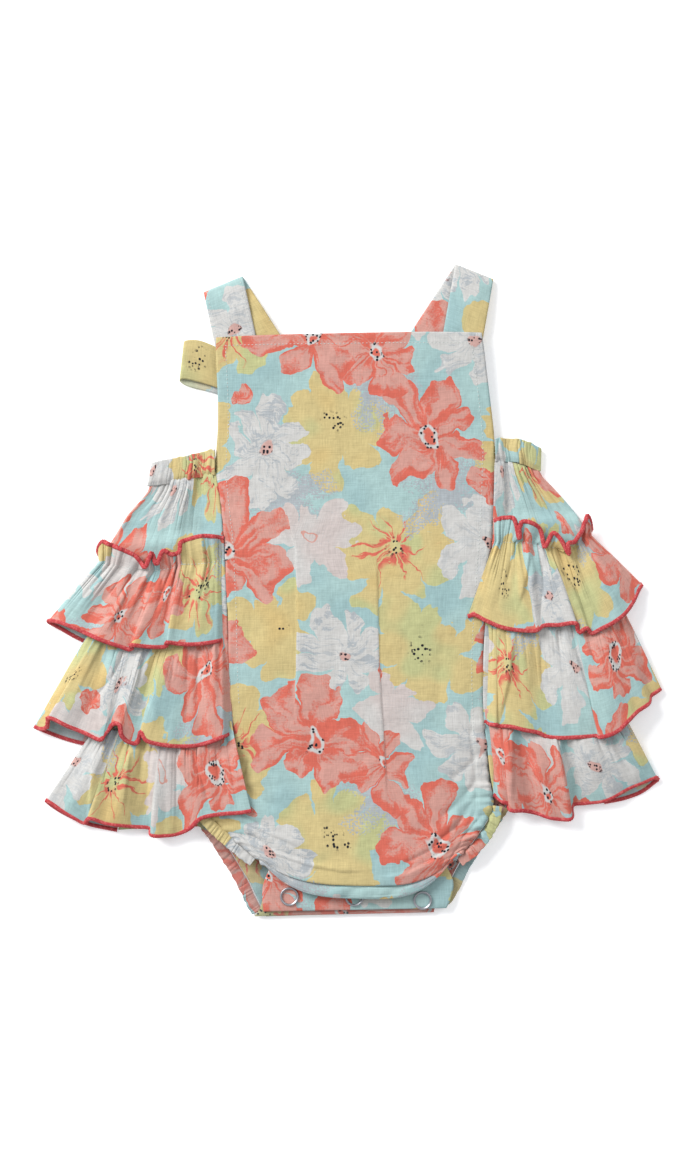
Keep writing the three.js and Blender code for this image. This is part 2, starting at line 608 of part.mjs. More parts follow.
// The bow at the back: a knot and two loops of strap. u is the band's upper edge and d its lower
// one, from the knot along the loop's top, round its end and back along its underside.
const leftLoop = table("ux uy dx dy z", [
  [-9.4, 97, -9.4, 88, 1.8],
  [-30, 112, -26, 93, 1.8],
  [-55, 130, -50, 107, 1.8],
  [-77, 141.5, -77, 118, 1.9],
  [-86, 145, -87, 121, 2.3],
  [-91.6, 145.4, -94, 122.6, 2.6],
  [-94.6, 144.8, -97.2, 122.4, 2.3],
  [-95.2, 144, -97.6, 121.6, 1.5],
  [-93.8, 142.6, -96, 120, 0.7],
  [-88, 141, -91, 118, 0.5],
  [-77, 137, -77, 114.4, 0.5],
  [-55, 126, -50, 104, 0.5],
  [-30, 109, -26, 91, 0.5],
  [-9.4, 96, -9.4, 87, 0.5],
]);
const rightLoopEnd = 0.72; // the hidden loop is shorter, and leans the other way
function loop(places, scale = 1) {
  return [0, 0.5, 1].map((v) =>
    places.map((p) => {
      const x = blend(p.ux, p.dx, v);
      const start = places[0].ux;
      return point(start + (x - start) * scale, blend(p.uy, p.dy, v), p.z);
    }),
  );
}
add("bow_loop_left", sheet(loop(leftLoop), wall), print());
const mirrored = loop(leftLoop, rightLoopEnd).map((row) => row.map((p) => point(-2 - p.x, p.y, p.z)));
add("bow_loop_right", sheet(mirrored, wall), print());
const knotSize = { x: 7.6, y: 7.6, z: 1.2 };
const knot = new THREE.SphereGeometry(1, 14, 8).scale(knotSize.x, knotSize.y, knotSize.z);
add("bow_knot", knot, print()).position.set(-1, 92, knotSize.z);

// The origin is under the middle of the whole garment, on the surface it lies on.
const middle = { x: -0.43, y: 0.53 };
garment.position.set(-middle.x, -middle.y, 0);

export default garment;
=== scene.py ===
import math
import bpy
import numpy as np
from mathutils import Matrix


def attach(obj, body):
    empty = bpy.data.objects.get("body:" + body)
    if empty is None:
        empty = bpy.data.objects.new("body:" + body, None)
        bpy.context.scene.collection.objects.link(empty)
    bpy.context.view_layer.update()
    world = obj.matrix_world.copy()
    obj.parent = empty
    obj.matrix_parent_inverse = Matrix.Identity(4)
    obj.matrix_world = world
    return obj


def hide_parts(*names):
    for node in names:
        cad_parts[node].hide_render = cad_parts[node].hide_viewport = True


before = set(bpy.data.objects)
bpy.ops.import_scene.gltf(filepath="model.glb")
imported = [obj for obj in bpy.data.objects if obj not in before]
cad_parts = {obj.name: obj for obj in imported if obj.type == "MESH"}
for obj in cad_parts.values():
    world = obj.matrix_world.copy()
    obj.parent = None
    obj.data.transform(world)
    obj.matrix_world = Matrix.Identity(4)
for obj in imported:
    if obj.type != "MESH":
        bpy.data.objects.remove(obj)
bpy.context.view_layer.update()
scene = bpy.context.scene
scene.view_settings.view_transform = "Standard"
# the tables below are in mm about the photo's middle, and this is how far that lies from the frame's own
middle = np.array([-0.43, 0.53, 0.0])
wall = 0.5  # one layer of cloth, in mm
onFloor = 0.02  # the lowest that anything lies

# dye, thread and metal colours, from 0 to 255
def ink(r, g, b):
    tone = [((v / 255 + 0.055) / 1.055) ** 2.4 if v > 10 else v / 255 / 12.92 for v in (r, g, b)]
    return (*tone, 1.0)

inks = {
    "aqua": ink(158, 186, 184), "deepAqua": ink(147, 177, 178), "yellow": ink(194, 177, 125),
    "lime": ink(179, 180, 130), "orange": ink(199, 170, 111), "coral": ink(200, 100, 84),
    "lightCoral": ink(196, 145, 134), "white": ink(192, 191, 188), "pink": ink(191, 180, 176),
    "grey": ink(160, 166, 170), "dark": ink(24, 27, 36), "faded": ink(192, 200, 198),
    "edge": ink(176, 52, 58), "edgeLight": ink(203, 96, 94), "thread": ink(199, 204, 200),
    "steel": ink(168, 168, 173),
}

# short ways to add shader nodes
def wire(tree, value, socket):
    if isinstance(value, bpy.types.NodeSocket):
        tree.links.new(value, socket)
    else:
        socket.default_value = value

def maths(tree):
    def m(kind, *values):
        node = tree.nodes.new("ShaderNodeMath")
        node.operation = kind
        for socket, value in zip(node.inputs, values):
            wire(tree, value, socket)
        return node.outputs[0]
    return m

def vectors(tree):
    def vm(kind, *values):
        node = tree.nodes.new("ShaderNodeVectorMath")
        node.operation = kind
        for socket, value in zip([s for s in node.inputs if s.enabled], values):
            wire(tree, value, socket)
        return node.outputs["Value" if kind == "LENGTH" else "Vector"]
    return vm

def mixed(tree, kind, sockets, output):
    node = tree.nodes.new("ShaderNodeMix")
    node.data_type = kind
    for index, value in sockets.items():
        wire(tree, value, node.inputs[index])
    return node.outputs[output]

def mixInk(tree, amount, a, b):
    return mixed(tree, "RGBA", {0: amount, 6: a, 7: b}, 2)

def pick(tree, hit, a, b):
    return mixed(tree, "VECTOR", {0: hit, 4: a, 5: b}, 1)

def step(tree, value, low, high):
    node = tree.nodes.new("ShaderNodeMapRange")
    node.interpolation_type = "SMOOTHSTEP"
    for index, v in ((0, value), (1, low), (2, high)):
        wire(tree, v, node.inputs[index])
    return node.outputs[0]

def noise(tree, where, scale, detail=2.0, rough=0.5, output="Fac"):
    node = tree.nodes.new("ShaderNodeTexNoise")
    tree.links.new(where, node.inputs["Vector"])
    node.inputs["Scale"].default_value = scale
    node.inputs["Detail"].default_value = detail
    node.inputs["Roughness"].default_value = rough
    return node.outputs[output]

def joined(tree, x, y, z=0.0):
    node = tree.nodes.new("ShaderNodeCombineXYZ")
    for socket, value in zip(node.inputs, (x, y, z)):
        wire(tree, value, socket)
    return node.outputs[0]

def parted(tree, vector):
    node = tree.nodes.new("ShaderNodeSeparateXYZ")
    tree.links.new(vector, node.inputs[0])
    return node.outputs

def newGroup(name, inputs, outputs):
    tree = bpy.data.node_groups.new(name, "ShaderNodeTree")
    kinds = {"v": "NodeSocketVector", "f": "NodeSocketFloat", "c": "NodeSocketColor"}
    for way, sockets in (("INPUT", inputs), ("OUTPUT", outputs)):
        for label, kind in sockets.items():
            tree.interface.new_socket(label, in_out=way, socket_type=kinds[kind])
    return tree, tree.nodes.new("NodeGroupInput").outputs, tree.nodes.new("NodeGroupOutput").inputs

def useGroup(tree, group, **values):
    node = tree.nodes.new("ShaderNodeGroup")
    node.node_tree = group
    for label, value in values.items():
        wire(tree, value, node.inputs[label])
    return node.outputs

# the flower print: plain petal formulas in an own layout that repeats over the cut cloth
flowers = dict(
    repeat=(208.0, 236.0, 1000.0),  # mm
    shortest=0.68, longer=0.42,  # a petal's length as a share of the bloom's size, and how much chance adds
    notch=0.05,  # the dent at a petal's tip
    wobble=30.0,  # mm that the outlines wander
    kinds={"coral": 1, "yellow": 2, "white": 3, "pink": 4, "smudge": 5},
    # kind, x, y, size, petals, turn, gap, and how strongly its strokes, eye or speckle are drawn
    blooms=[
        ("yellow", 26, 24, 37, 7, 0.10, 0.34, 1.0),
        ("yellow", 108, 88, 39, 6, 0.34, 0.32, 0.0),
        ("yellow", 200, 96, 35, 7, 0.21, 0.36, 0.0),
        ("yellow", 136, 150, 36, 6, 0.05, 0.34, 1.0),
        ("yellow", 48, 204, 36, 7, 0.44, 0.36, 0.0),
        ("yellow", 160, 214, 33, 6, 0.62, 0.34, 0.0),
        ("smudge", 60, 52, 37, 5, 0.13, 0.5, 0.0),
        ("smudge", 172, 58, 36, 6, 0.53, 0.5, 0.0),
        ("smudge", 100, 176, 33, 5, 0.83, 0.5, 0.0),
        ("smudge", 22, 112, 27, 6, 0.33, 0.5, 0.0),
        ("pink", 186, 32, 29, 8, 0.31, 0.4, 1.0),
        ("pink", 26, 168, 28, 8, 0.08, 0.4, 0.0),
        ("white", 82, 26, 29, 7, 0.22, 0.5, 0.2),
        ("white", 158, 84, 30, 8, 0.71, 0.46, 1.0),
        ("white", 78, 146, 29, 7, 0.46, 0.48, 0.7),
        ("white", 204, 202, 28, 8, 0.12, 0.5, 1.0),
        ("coral", 134, 28, 37, 6, 0.18, 0.4, 1.0),
        ("coral", 50, 92, 38, 7, 0.57, 0.42, 1.0),
        ("coral", 16, 136, 29, 6, 0.27, 0.42, 1.0),
        ("coral", 184, 150, 36, 6, 0.39, 0.42, 1.0),
        ("coral", 108, 206, 38, 7, 0.77, 0.4, 1.0),
        ("coral", 84, 62, 9, 2, 0.2, 0.3, 0.0),
        ("coral", 142, 112, 8, 2, 0.7, 0.3, 0.0),
        ("coral", 22, 190, 9, 2, 0.4, 0.3, 0.0),
    ],
)

def petalGroup():
    # Hit is 1 inside the petals. Place holds how far out a point lies, by the bloom's size and by its petal's
    # length, and how near a seam between petals. Ring is the way out from the centre, with the bloom's seed.
    tree, given, result = newGroup(
        "petals", dict(Cut="v", Centre="v", Size="f", Petals="f", Turn="f", Seed="f", Gap="f"),
        dict(Hit="f", Place="v", Ring="v", Next="v"))
    m, vm = maths(tree), vectors(tree)
    half = tuple(v / 2 for v in flowers["repeat"])
    away = vm("WRAP", vm("SUBTRACT", given["Cut"], given["Centre"]), half, tuple(-v for v in half))
    x, y, _ = parted(tree, away)
    flat = joined(tree, x, y)
    r = vm("LENGTH", flat)
    turn = m("ADD", m("DIVIDE", m("ARCTAN2", y, x), 2 * math.pi), given["Turn"])
    k = m("FLOORED_MODULO", m("MULTIPLY", turn, given["Petals"]), given["Petals"])
    gap = m("ABSOLUTE", m("MULTIPLY_ADD", m("FRACT", k), 2.0, -1.0))
    chance = tree.nodes.new("ShaderNodeTexWhiteNoise")
    chance.noise_dimensions = "2D"
    tree.links.new(joined(tree, m("FLOOR", k), given["Seed"]), chance.inputs["Vector"])
    long = m("MULTIPLY_ADD", chance.outputs["Value"], flowers["longer"], flowers["shortest"])
    lobe = m("SUBTRACT", 1.0, m("MULTIPLY", given["Gap"], m("POWER", gap, 3.0)))
    notch = m("MULTIPLY", m("SUBTRACT", 1.0, step(tree, gap, 0.0, 0.3)), flowers["notch"])
    edge = m("MULTIPLY", m("MULTIPLY", given["Size"], long), m("SUBTRACT", lobe, notch))
    tree.links.new(m("LESS_THAN", r, edge), result["Hit"])
    place = joined(tree, m("DIVIDE", r, given["Size"]), m("DIVIDE", r, edge), gap)
    tree.links.new(place, result["Place"])
    ring = vm("ADD", vm("NORMALIZE", flat), joined(tree, 0.0, 0.0, given["Seed"]))
    tree.links.new(ring, result["Ring"])
    # Next is Cut again; passing it on makes the renderer work through the blooms one after the other
    tree.links.new(vm("ADD", given["Cut"], vm("MULTIPLY", place, (1e-7,) * 3)), result["Next"])
    return tree

petals = petalGroup()

def paintBlooms(tree, ring, place, dots, grain, wash, brush, extra):
    # the four kinds of bloom, coloured from their polar places
    m = maths(tree)
    away, reach, gap = parted(tree, place)
    rx, ry, seed = parted(tree, ring)

    def rays(across, drawn):  # noise drawn out from the centre to the petal tips
        outwards = m("MULTIPLY_ADD", away, drawn, seed)
        where = joined(tree, m("MULTIPLY", rx, across), m("MULTIPLY", ry, across), outwards)
        return noise(tree, where, 1.0, 2.0, 0.6)

    def below(value, low, high):
        return m("SUBTRACT", 1.0, step(tree, value, low, high))

    def times(*values):
        product = values[0]
        for value in values[1:]:
            product = m("MULTIPLY", product, value)
        return product

    broad, narrow = rays(3.4, 1.7), rays(8.0, 2.2)
    # coral: light petals with full coral strokes from the centre and along the seams
    tips = m("MULTIPLY_ADD", step(tree, reach, 0.62, 1.0), 0.13, broad)
    heart = m("MULTIPLY_ADD", below(away, 0.1, 0.62), 0.17, times(step(tree, gap, 0.72, 1.0), 0.1))
    amount = m("ADD", m("ADD", tips, heart), m("MULTIPLY_ADD", grain, 0.34, -0.17))
    coral = mixInk(tree, step(tree, amount, 0.5, 0.68), inks["lightCoral"], inks["coral"])
    coral = mixInk(tree, times(below(away, 0.13, 0.17), extra), coral, inks["white"])
    coral = mixInk(tree, times(below(away, 0.06, 0.1), extra), coral, inks["coral"])
    coral = mixInk(tree, times(dots, extra, below(away, 0.15, 0.19)), coral, inks["dark"])
    # yellow: flat, washed lime and orange, with coral strokes on some
    yellow = mixInk(tree, step(tree, wash, 0.5, 0.62), inks["yellow"], inks["lime"])
    yellow = mixInk(tree, times(below(wash, 0.3, 0.46), 0.6), yellow, inks["orange"])
    turn = m("MULTIPLY_ADD", broad, 0.9, m("MULTIPLY", m("ARCTAN2", ry, rx), 11 / (2 * math.pi)))
    offStroke = times(m("ABSOLUTE", m("SUBTRACT", m("FRACT", m("ADD", turn, 20.0)), 0.5)), away)
    inBand = times(step(tree, m("MULTIPLY_ADD", grain, 0.3, away), 0.3, 0.36),
                   below(m("ADD", away, narrow), 1.0, 1.14))
    stroke = times(below(offStroke, 0.028, 0.045), inBand, step(tree, narrow, 0.4, 0.46))
    blot = times(step(tree, broad, 0.5, 0.54), below(away, 0.24, 0.34), step(tree, away, 0.1, 0.16))
    yellow = mixInk(tree, times(m("MAXIMUM", stroke, blot), extra), yellow, inks["coral"])
    yellow = mixInk(tree, times(dots, below(away, 0.14, 0.24)), yellow, inks["dark"])
    # white: grey brush lines and speckle, a pink heart
    near = below(away, 0.25, 0.85)
    fine = step(tree, m("MULTIPLY_ADD", near, 0.06, narrow), 0.6, 0.68)
    white = mixInk(tree, times(fine, m("MULTIPLY_ADD", near, 0.55, 0.1)), inks["white"], inks["grey"])
    white = mixInk(tree, times(brush, m("MULTIPLY_ADD", extra, 0.7, 0.2)), white, inks["grey"])
    white = mixInk(tree, times(below(away, 0.12, 0.16), 0.75), white, inks["lightCoral"])
    white = mixInk(tree, times(dots, below(away, 0.1, 0.18)), white, inks["dark"])
    # pink: nearly white, with a small ring
    pink = mixInk(tree, step(tree, wash, 0.4, 0.7), inks["pink"], inks["white"])
    pink = mixInk(tree, times(m("COMPARE", away, 0.13, 0.022), extra), pink, inks["lightCoral"])
    speckle = times(step(tree, grain, 0.56, 0.64), below(away, 0.35, 0.8), 0.35)
    pink = mixInk(tree, speckle, pink, inks["grey"])
    return {"coral": coral, "yellow": yellow, "white": white, "pink": pink, "smudge": inks["grey"]}

def printGroup():
    tree, given, result = newGroup("flowerPrint", dict(Cut="v"), dict(Color="c"))
    m, vm = maths(tree), vectors(tree)
    cut = given["Cut"]
    wobble = noise(tree, cut, 0.05, 4.0, 0.42, "Color")
    shift = vm("MULTIPLY", vm("SUBTRACT", wobble, (0.5, 0.5, 0.5)), (*[flowers["wobble"]] * 2, 0.0))
    warped = vm("ADD", cut, shift)
    grain = noise(tree, cut, 0.9, 3.0, 0.65)
    wash = noise(tree, cut, 0.028, 1.0)
    across, down, _ = parted(tree, warped)
    drawn = joined(tree, m("MULTIPLY", across, 0.16), m("MULTIPLY", down, 0.5), 3.0)
    patch = noise(tree, cut, 0.06, 1.0)
    brush = step(tree, m("MULTIPLY_ADD", patch, 0.7, noise(tree, drawn, 1.0, 5.0, 0.72)), 0.86, 0.94)
    cells = tree.nodes.new("ShaderNodeTexVoronoi")
    tree.links.new(cut, cells.inputs["Vector"])
    cells.inputs["Scale"].default_value = 0.5
    spots = m("SUBTRACT", 1.0, step(tree, cells.outputs["Distance"], 0.33, 0.45))
    dots = m("MULTIPLY", spots, m("GREATER_THAN", parted(tree, cells.outputs["Color"])[0], 0.3))
    place, ring, sort = (0.0, 0.0, 0.0), (0.0, 0.0, 0.0), (0.0, 0.0, 0.0)
    for i, (kind, x, y, size, count, turn, gap, extra) in enumerate(flowers["blooms"]):
        bloom = useGroup(tree, petals, Cut=warped, Centre=(x, y, 0.0), Size=float(size), Petals=float(count),
                         Turn=turn, Seed=i * 7.3, Gap=gap)
        warped, hit = bloom["Next"], bloom["Hit"]
        if kind == "smudge":  # broken up, thinner to its edge
            _, reach, _ = parted(tree, bloom["Place"])
            thick = m("MULTIPLY_ADD", reach, -0.26, m("ADD", grain, 0.3))
            hit = m("MULTIPLY", hit, m("GREATER_THAN", thick, 0.6))
        place, ring = pick(tree, hit, place, bloom["Place"]), pick(tree, hit, ring, bloom["Ring"])
        sort = pick(tree, hit, sort, (float(flowers["kinds"][kind]), extra, 0.0))
    number, extra, _ = parted(tree, sort)
    colour = mixInk(tree, step(tree, wash, 0.42, 0.66), inks["aqua"], inks["deepAqua"])
    for kind, paint in paintBlooms(tree, ring, place, dots, grain, wash, brush, extra).items():
        colour = mixInk(tree, m("COMPARE", number, float(flowers["kinds"][kind]), 0.4), colour, paint)
    tree.links.new(colour, result["Color"])
    return tree

flowerPrint = printGroup()

cotton = dict(
    threads=1.6, threadShade=0.44,  # threads a mm, and how much they lighten and darken the cloth
    mottle=0.13, mottleShade=0.32,  # the wider unevenness
    roughness=0.9, specular=0.25, sheen=0.12,
    bump=0.55, threadHeight=0.09, crumpleHeight=0.9, bumpDistance=0.001,
)

# a last value below 1 darkens the whole colour, as painted shade
def clothMaterial(name, washedOut=0.0, paintedShade=1.0):
    material = bpy.data.materials.new(name)
    material.use_nodes = True
    tree = material.node_tree
    m, vm = maths(tree), vectors(tree)
    shader = tree.nodes["Principled BSDF"]
    flat = tree.nodes.new("ShaderNodeUVMap")
    flat.uv_map = "cut"
    cut = vm("MULTIPLY", flat.outputs[0], (1000.0, 1000.0, 0.0))
    colour = useGroup(tree, flowerPrint, Cut=cut)["Color"]
    if washedOut:
        colour = mixInk(tree, washedOut, colour, inks["faded"])
    x, y, _ = parted(tree, cut)
    warp = joined(tree, m("MULTIPLY", x, 0.1), m("MULTIPLY", y, cotton["threads"]))
    weft = joined(tree, m("MULTIPLY", x, cotton["threads"]), m("MULTIPLY", y, 0.1), 5.0)
    weave = m("ADD", noise(tree, warp, 1.0, 2.0, 0.7), noise(tree, weft, 1.0, 2.0, 0.7))
    mottle = noise(tree, cut, cotton["mottle"], 4.0, 0.62)
    uneven = m("MULTIPLY_ADD", m("SUBTRACT", mottle, 0.5), cotton["mottleShade"], 1.0)
    threads = m("MULTIPLY_ADD", m("SUBTRACT", weave, 1.0), cotton["threadShade"], 1.0)
    # threads and mottle are the cloth's own uneven tone; the last factor multiplies in painted shade
    shade = m("MULTIPLY", m("MULTIPLY", threads, uneven), paintedShade)
    tint = tree.nodes.new("ShaderNodeVectorMath")
    tint.operation = "SCALE"
    tree.links.new(colour, tint.inputs[0])
    tree.links.new(shade, tint.inputs["Scale"])
    tree.links.new(tint.outputs[0], shader.inputs["Base Color"])
    shader.inputs["Roughness"].default_value = cotton["roughness"]
    shader.inputs["Specular IOR Level"].default_value = cotton["specular"]
    shader.inputs["Sheen Weight"].default_value = cotton["sheen"]
    crumpled = m("MULTIPLY", noise(tree, cut, 0.16, 3.0, 0.5), cotton["crumpleHeight"])
    bump = tree.nodes.new("ShaderNodeBump")
    bump.inputs["Strength"].default_value = cotton["bump"]
    bump.inputs["Distance"].default_value = cotton["bumpDistance"]
    tree.links.new(m("ADD", m("MULTIPLY", weave, cotton["threadHeight"]), crumpled), bump.inputs["Height"])
    tree.links.new(bump.outputs[0], shader.inputs["Normal"])
    return material

def plainMaterial(name, colour, rough, metal=0.0):
    material = bpy.data.materials.new(name)
    material.use_nodes = True
    shader = material.node_tree.nodes["Principled BSDF"]
    shader.inputs["Base Color"].default_value = colour
    shader.inputs["Roughness"].default_value = rough
    shader.inputs["Metallic"].default_value = metal
    return material

def overlockMaterial():
    material = plainMaterial("coral thread", inks["edge"], 0.8)
    tree = material.node_tree
    spot = tree.nodes.new("ShaderNodeTexCoord")
    strands = noise(tree, spot.outputs["Object"], 900.0)
    colour = mixInk(tree, step(tree, strands, 0.46, 0.68), inks["edge"], inks["edgeLight"])
    tree.links.new(colour, tree.nodes["Principled BSDF"].inputs["Base Color"])
    return material

rightSide = clothMaterial("printed cotton")
wrongSide = clothMaterial("wrong side", 0.4)
# the back's inside, where it lies low under the front: a little faded, and its colour times 0.8 as painted
# shade
insidePaintedShade = clothMaterial("inside back painted shade", 0.12, 0.8)
inside = [insidePaintedShade, wrongSide]  # where the back's wrong side shows; its upper face is darkened with painted shade
threadRed = overlockMaterial()
threadPale = plainMaterial("pale thread", inks["thread"], 0.8)
steel = plainMaterial("ring steel", inks["steel"], 0.44, 1.0)
print("materials ready")

# shapes: grids of points in mm
def through(points, at):
    # smooth line through rows of numbers, at 0 for the first row, 1 for the second and so on
    p = np.asarray(points, float)
    p = np.vstack([2 * p[0] - p[1], p, 2 * p[-1] - p[-2]])
    gap = np.maximum(np.linalg.norm(np.diff(p, axis=0), axis=1), 1e-4) ** 0.5
    at = np.asarray(at, float)
    i = np.clip(np.floor(at).astype(int), 0, len(points) - 2)
    t = (at - i)[..., None]
    before, here, after = (gap[i + k][..., None] for k in range(3))
    a, b, c, d = (p[i + k] for k in range(4))
    m1 = ((b - a) / before - (c - a) / (before + here) + (c - b) / here) * here
    m2 = ((c - b) / here - (d - b) / (here + after) + (d - c) / after) * here
    return ((2 * t**3 - 3 * t**2 + 1) * b + (t**3 - 2 * t**2 + t) * m1 + (3 * t**2 - 2 * t**3) * c
            + (t**3 - t**2) * m2)

def spread(table, count):
    return through(table, np.linspace(0, len(table) - 1, count))

def blend(a, b, share):
    return a * (1 - share) + b * share

def paired(x, y):
    return np.stack(np.broadcast_arrays(x, y), -1)

def smooth(value, low, high):
    t = np.clip((np.asarray(value, float) - low) / (high - low), 0, 1)
    return t * t * (3 - 2 * t)

def wander(x, pitch, seed):
    # smooth uneven wave about 0, with a new height every pitch
    values = np.random.RandomState(seed).uniform(-1, 1, 4096)
    k = np.asarray(x, float) / pitch + 1000
    i = np.floor(k).astype(int)
    t = k - i
    return blend(values[i % 4096], values[(i + 1) % 4096], t * t * (3 - 2 * t))

def crumple(x, y, pitch, seed):
    # the same over a surface
    values = np.random.RandomState(seed).uniform(-1, 1, (256, 256))
    a, b = np.asarray(x, float) / pitch + 300, np.asarray(y, float) / pitch + 300
    i, j = np.floor(a).astype(int), np.floor(b).astype(int)
    s, t = a - i, b - j
    s, t = s * s * (3 - 2 * s), t * t * (3 - 2 * t)
    corner = lambda di, dj: values[(i + di) % 256, (j + dj) % 256]
    return blend(blend(corner(0, 0), corner(1, 0), s), blend(corner(0, 1), corner(1, 1), s), t)

def normals(points):
    n = np.cross(np.gradient(points, axis=1), np.gradient(points, axis=0))
    return n / np.maximum(np.linalg.norm(n, axis=2, keepdims=True), 1e-9)

def facingUp(points):
    n = normals(points)
    return n * np.where(n[..., 2:] < 0, -1, 1)

def along(points):
    # length run along a line of points
    return np.concatenate([[0], np.cumsum(np.linalg.norm(np.diff(points, axis=0), axis=1))])

def evenly(path, spacing):
    run = along(path)
    at = np.arange(0, run[-1], spacing)
    return np.stack([np.interp(at, run, path[:, k]) for k in range(3)], 1)

def toLine(xy, line):
    # distance to a bent line, signed by side, and how far along it
    best = np.full(xy.shape[:-1], 1e9)
    side = np.zeros(xy.shape[:-1])
    share = np.zeros(xy.shape[:-1])
    line = np.asarray(line, float)
    lengths = np.linalg.norm(np.diff(line, axis=0), axis=1)
    run = 0
    for a, b, length in zip(line[:-1], line[1:], lengths):
        way = (b - a) / length
        off = xy - a
        t = np.clip(off @ way, 0, length)
        d = np.linalg.norm(off - t[..., None] * way, axis=-1)
        near = d < best
        best = np.where(near, d, best)
        side = np.where(near, np.sign(way[0] * off[..., 1] - way[1] * off[..., 0]), side)
        share = np.where(near, (run + t) / lengths.sum(), share)
        run += length
    return best, side, share

def creases(points, lines):
    # each line: points, height, width, lean. Lean 0 is a soft ridge or trough, 1 or -1 drops sharply on its
    # left or right, and 3 is a crisp crease.
    lift = np.zeros(points.shape[:2])
    for line, height, width, lean in lines:
        d, side, share = toLine(points[..., :2], line)
        ends = 0.1 + 0.9 * smooth(share, 0, 0.22) * (1 - smooth(share, 0.72, 1.0))
        if lean == 3:
            lift += height * ends * np.exp(-d / width)
        else:
            w = width * np.where(side * lean > 0, 0.2, 1.0)
            lift += height * ends * np.exp(-((d / w) ** 2))
    return lift

def inMetres(points):
    return (np.asarray(points, float).reshape(-1, 3) - middle) * 0.001

def shellMesh(name, points, cut, thick, asDrawn):
    # closed shell about a grid of middle points; cut holds each point's place in the flat cloth, in mm
    rows, columns = points.shape[:2]
    if not asDrawn and normals(points)[:, :columns // 3, 2].sum() < 0:  # the printed side faces up
        points, cut = points[:, ::-1], cut[:, ::-1]
        thick = thick[:, ::-1] if np.ndim(thick) == 2 else thick
    half = normals(points) * np.asarray(thick)[..., None] / 2
    upper, lower = points + half, points - half
    for layer in (upper, lower):
        layer[..., 2] = np.maximum(layer[..., 2], onFloor)
    count = rows * columns
    index = np.arange(count).reshape(rows, columns)
    top = np.stack([index[:-1, :-1], index[:-1, 1:], index[1:, 1:], index[1:, :-1]], -1).reshape(-1, 4)
    rim = np.concatenate([index[0, :], index[1:, -1], index[-1, -2::-1], index[-2:0:-1, 0]])
    after = np.roll(rim, -1)
    sideFaces = np.stack([rim, rim + count, after + count, after], -1)
    faces = np.concatenate([top, top[:, ::-1] + count, sideFaces])
    coords = inMetres(np.concatenate([upper, lower]))
    flat = np.tile(cut.reshape(-1, 2), (2, 1)) * 0.001
    mesh = bpy.data.meshes.new(name)
    mesh.vertices.add(len(coords))
    mesh.vertices.foreach_set("co", coords.ravel())
    mesh.loops.add(faces.size)
    mesh.loops.foreach_set("vertex_index", faces.ravel())
    mesh.polygons.add(len(faces))
    mesh.polygons.foreach_set("loop_start", np.arange(0, faces.size, 4))
    mesh.polygons.foreach_set("use_smooth", np.ones(len(faces), bool))
    kind = np.zeros(len(faces), int)
    kind[len(top):2 * len(top)] = 1  # the lower layer has the second material
    mesh.polygons.foreach_set("material_index", kind)
    layer = mesh.uv_layers.new(name="cut")
    layer.data.foreach_set("uv", flat[faces.ravel()].ravel())
    mesh.update(calc_edges=True)
    mesh.validate()
    return mesh

def plainMesh(name, points, faces):
    mesh = bpy.data.meshes.new(name)
    mesh.from_pydata(inMetres(points).tolist(), [], faces)
    mesh.polygons.foreach_set("use_smooth", [True] * len(faces))
    return mesh

def place(name, mesh, materials, slot, nodes=()):
    thing = bpy.data.objects.new(name, mesh)
    scene.collection.objects.link(thing)
    for material in materials:
        mesh.materials.append(material)
    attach(thing, "root")
    if nodes:
        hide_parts(*nodes)
    return thing

def cloth(node, points, cut, fromInside=False, thick=wall, asDrawn=False):
    name = node + ".cloth"
    mesh = shellMesh(name, points, cut, thick, asDrawn)
    if fromInside:
        return place(name, mesh, inside, "cotton_wrong_side", [node])
    return place(name, mesh, [rightSide, wrongSide], "printed_cotton", [node])

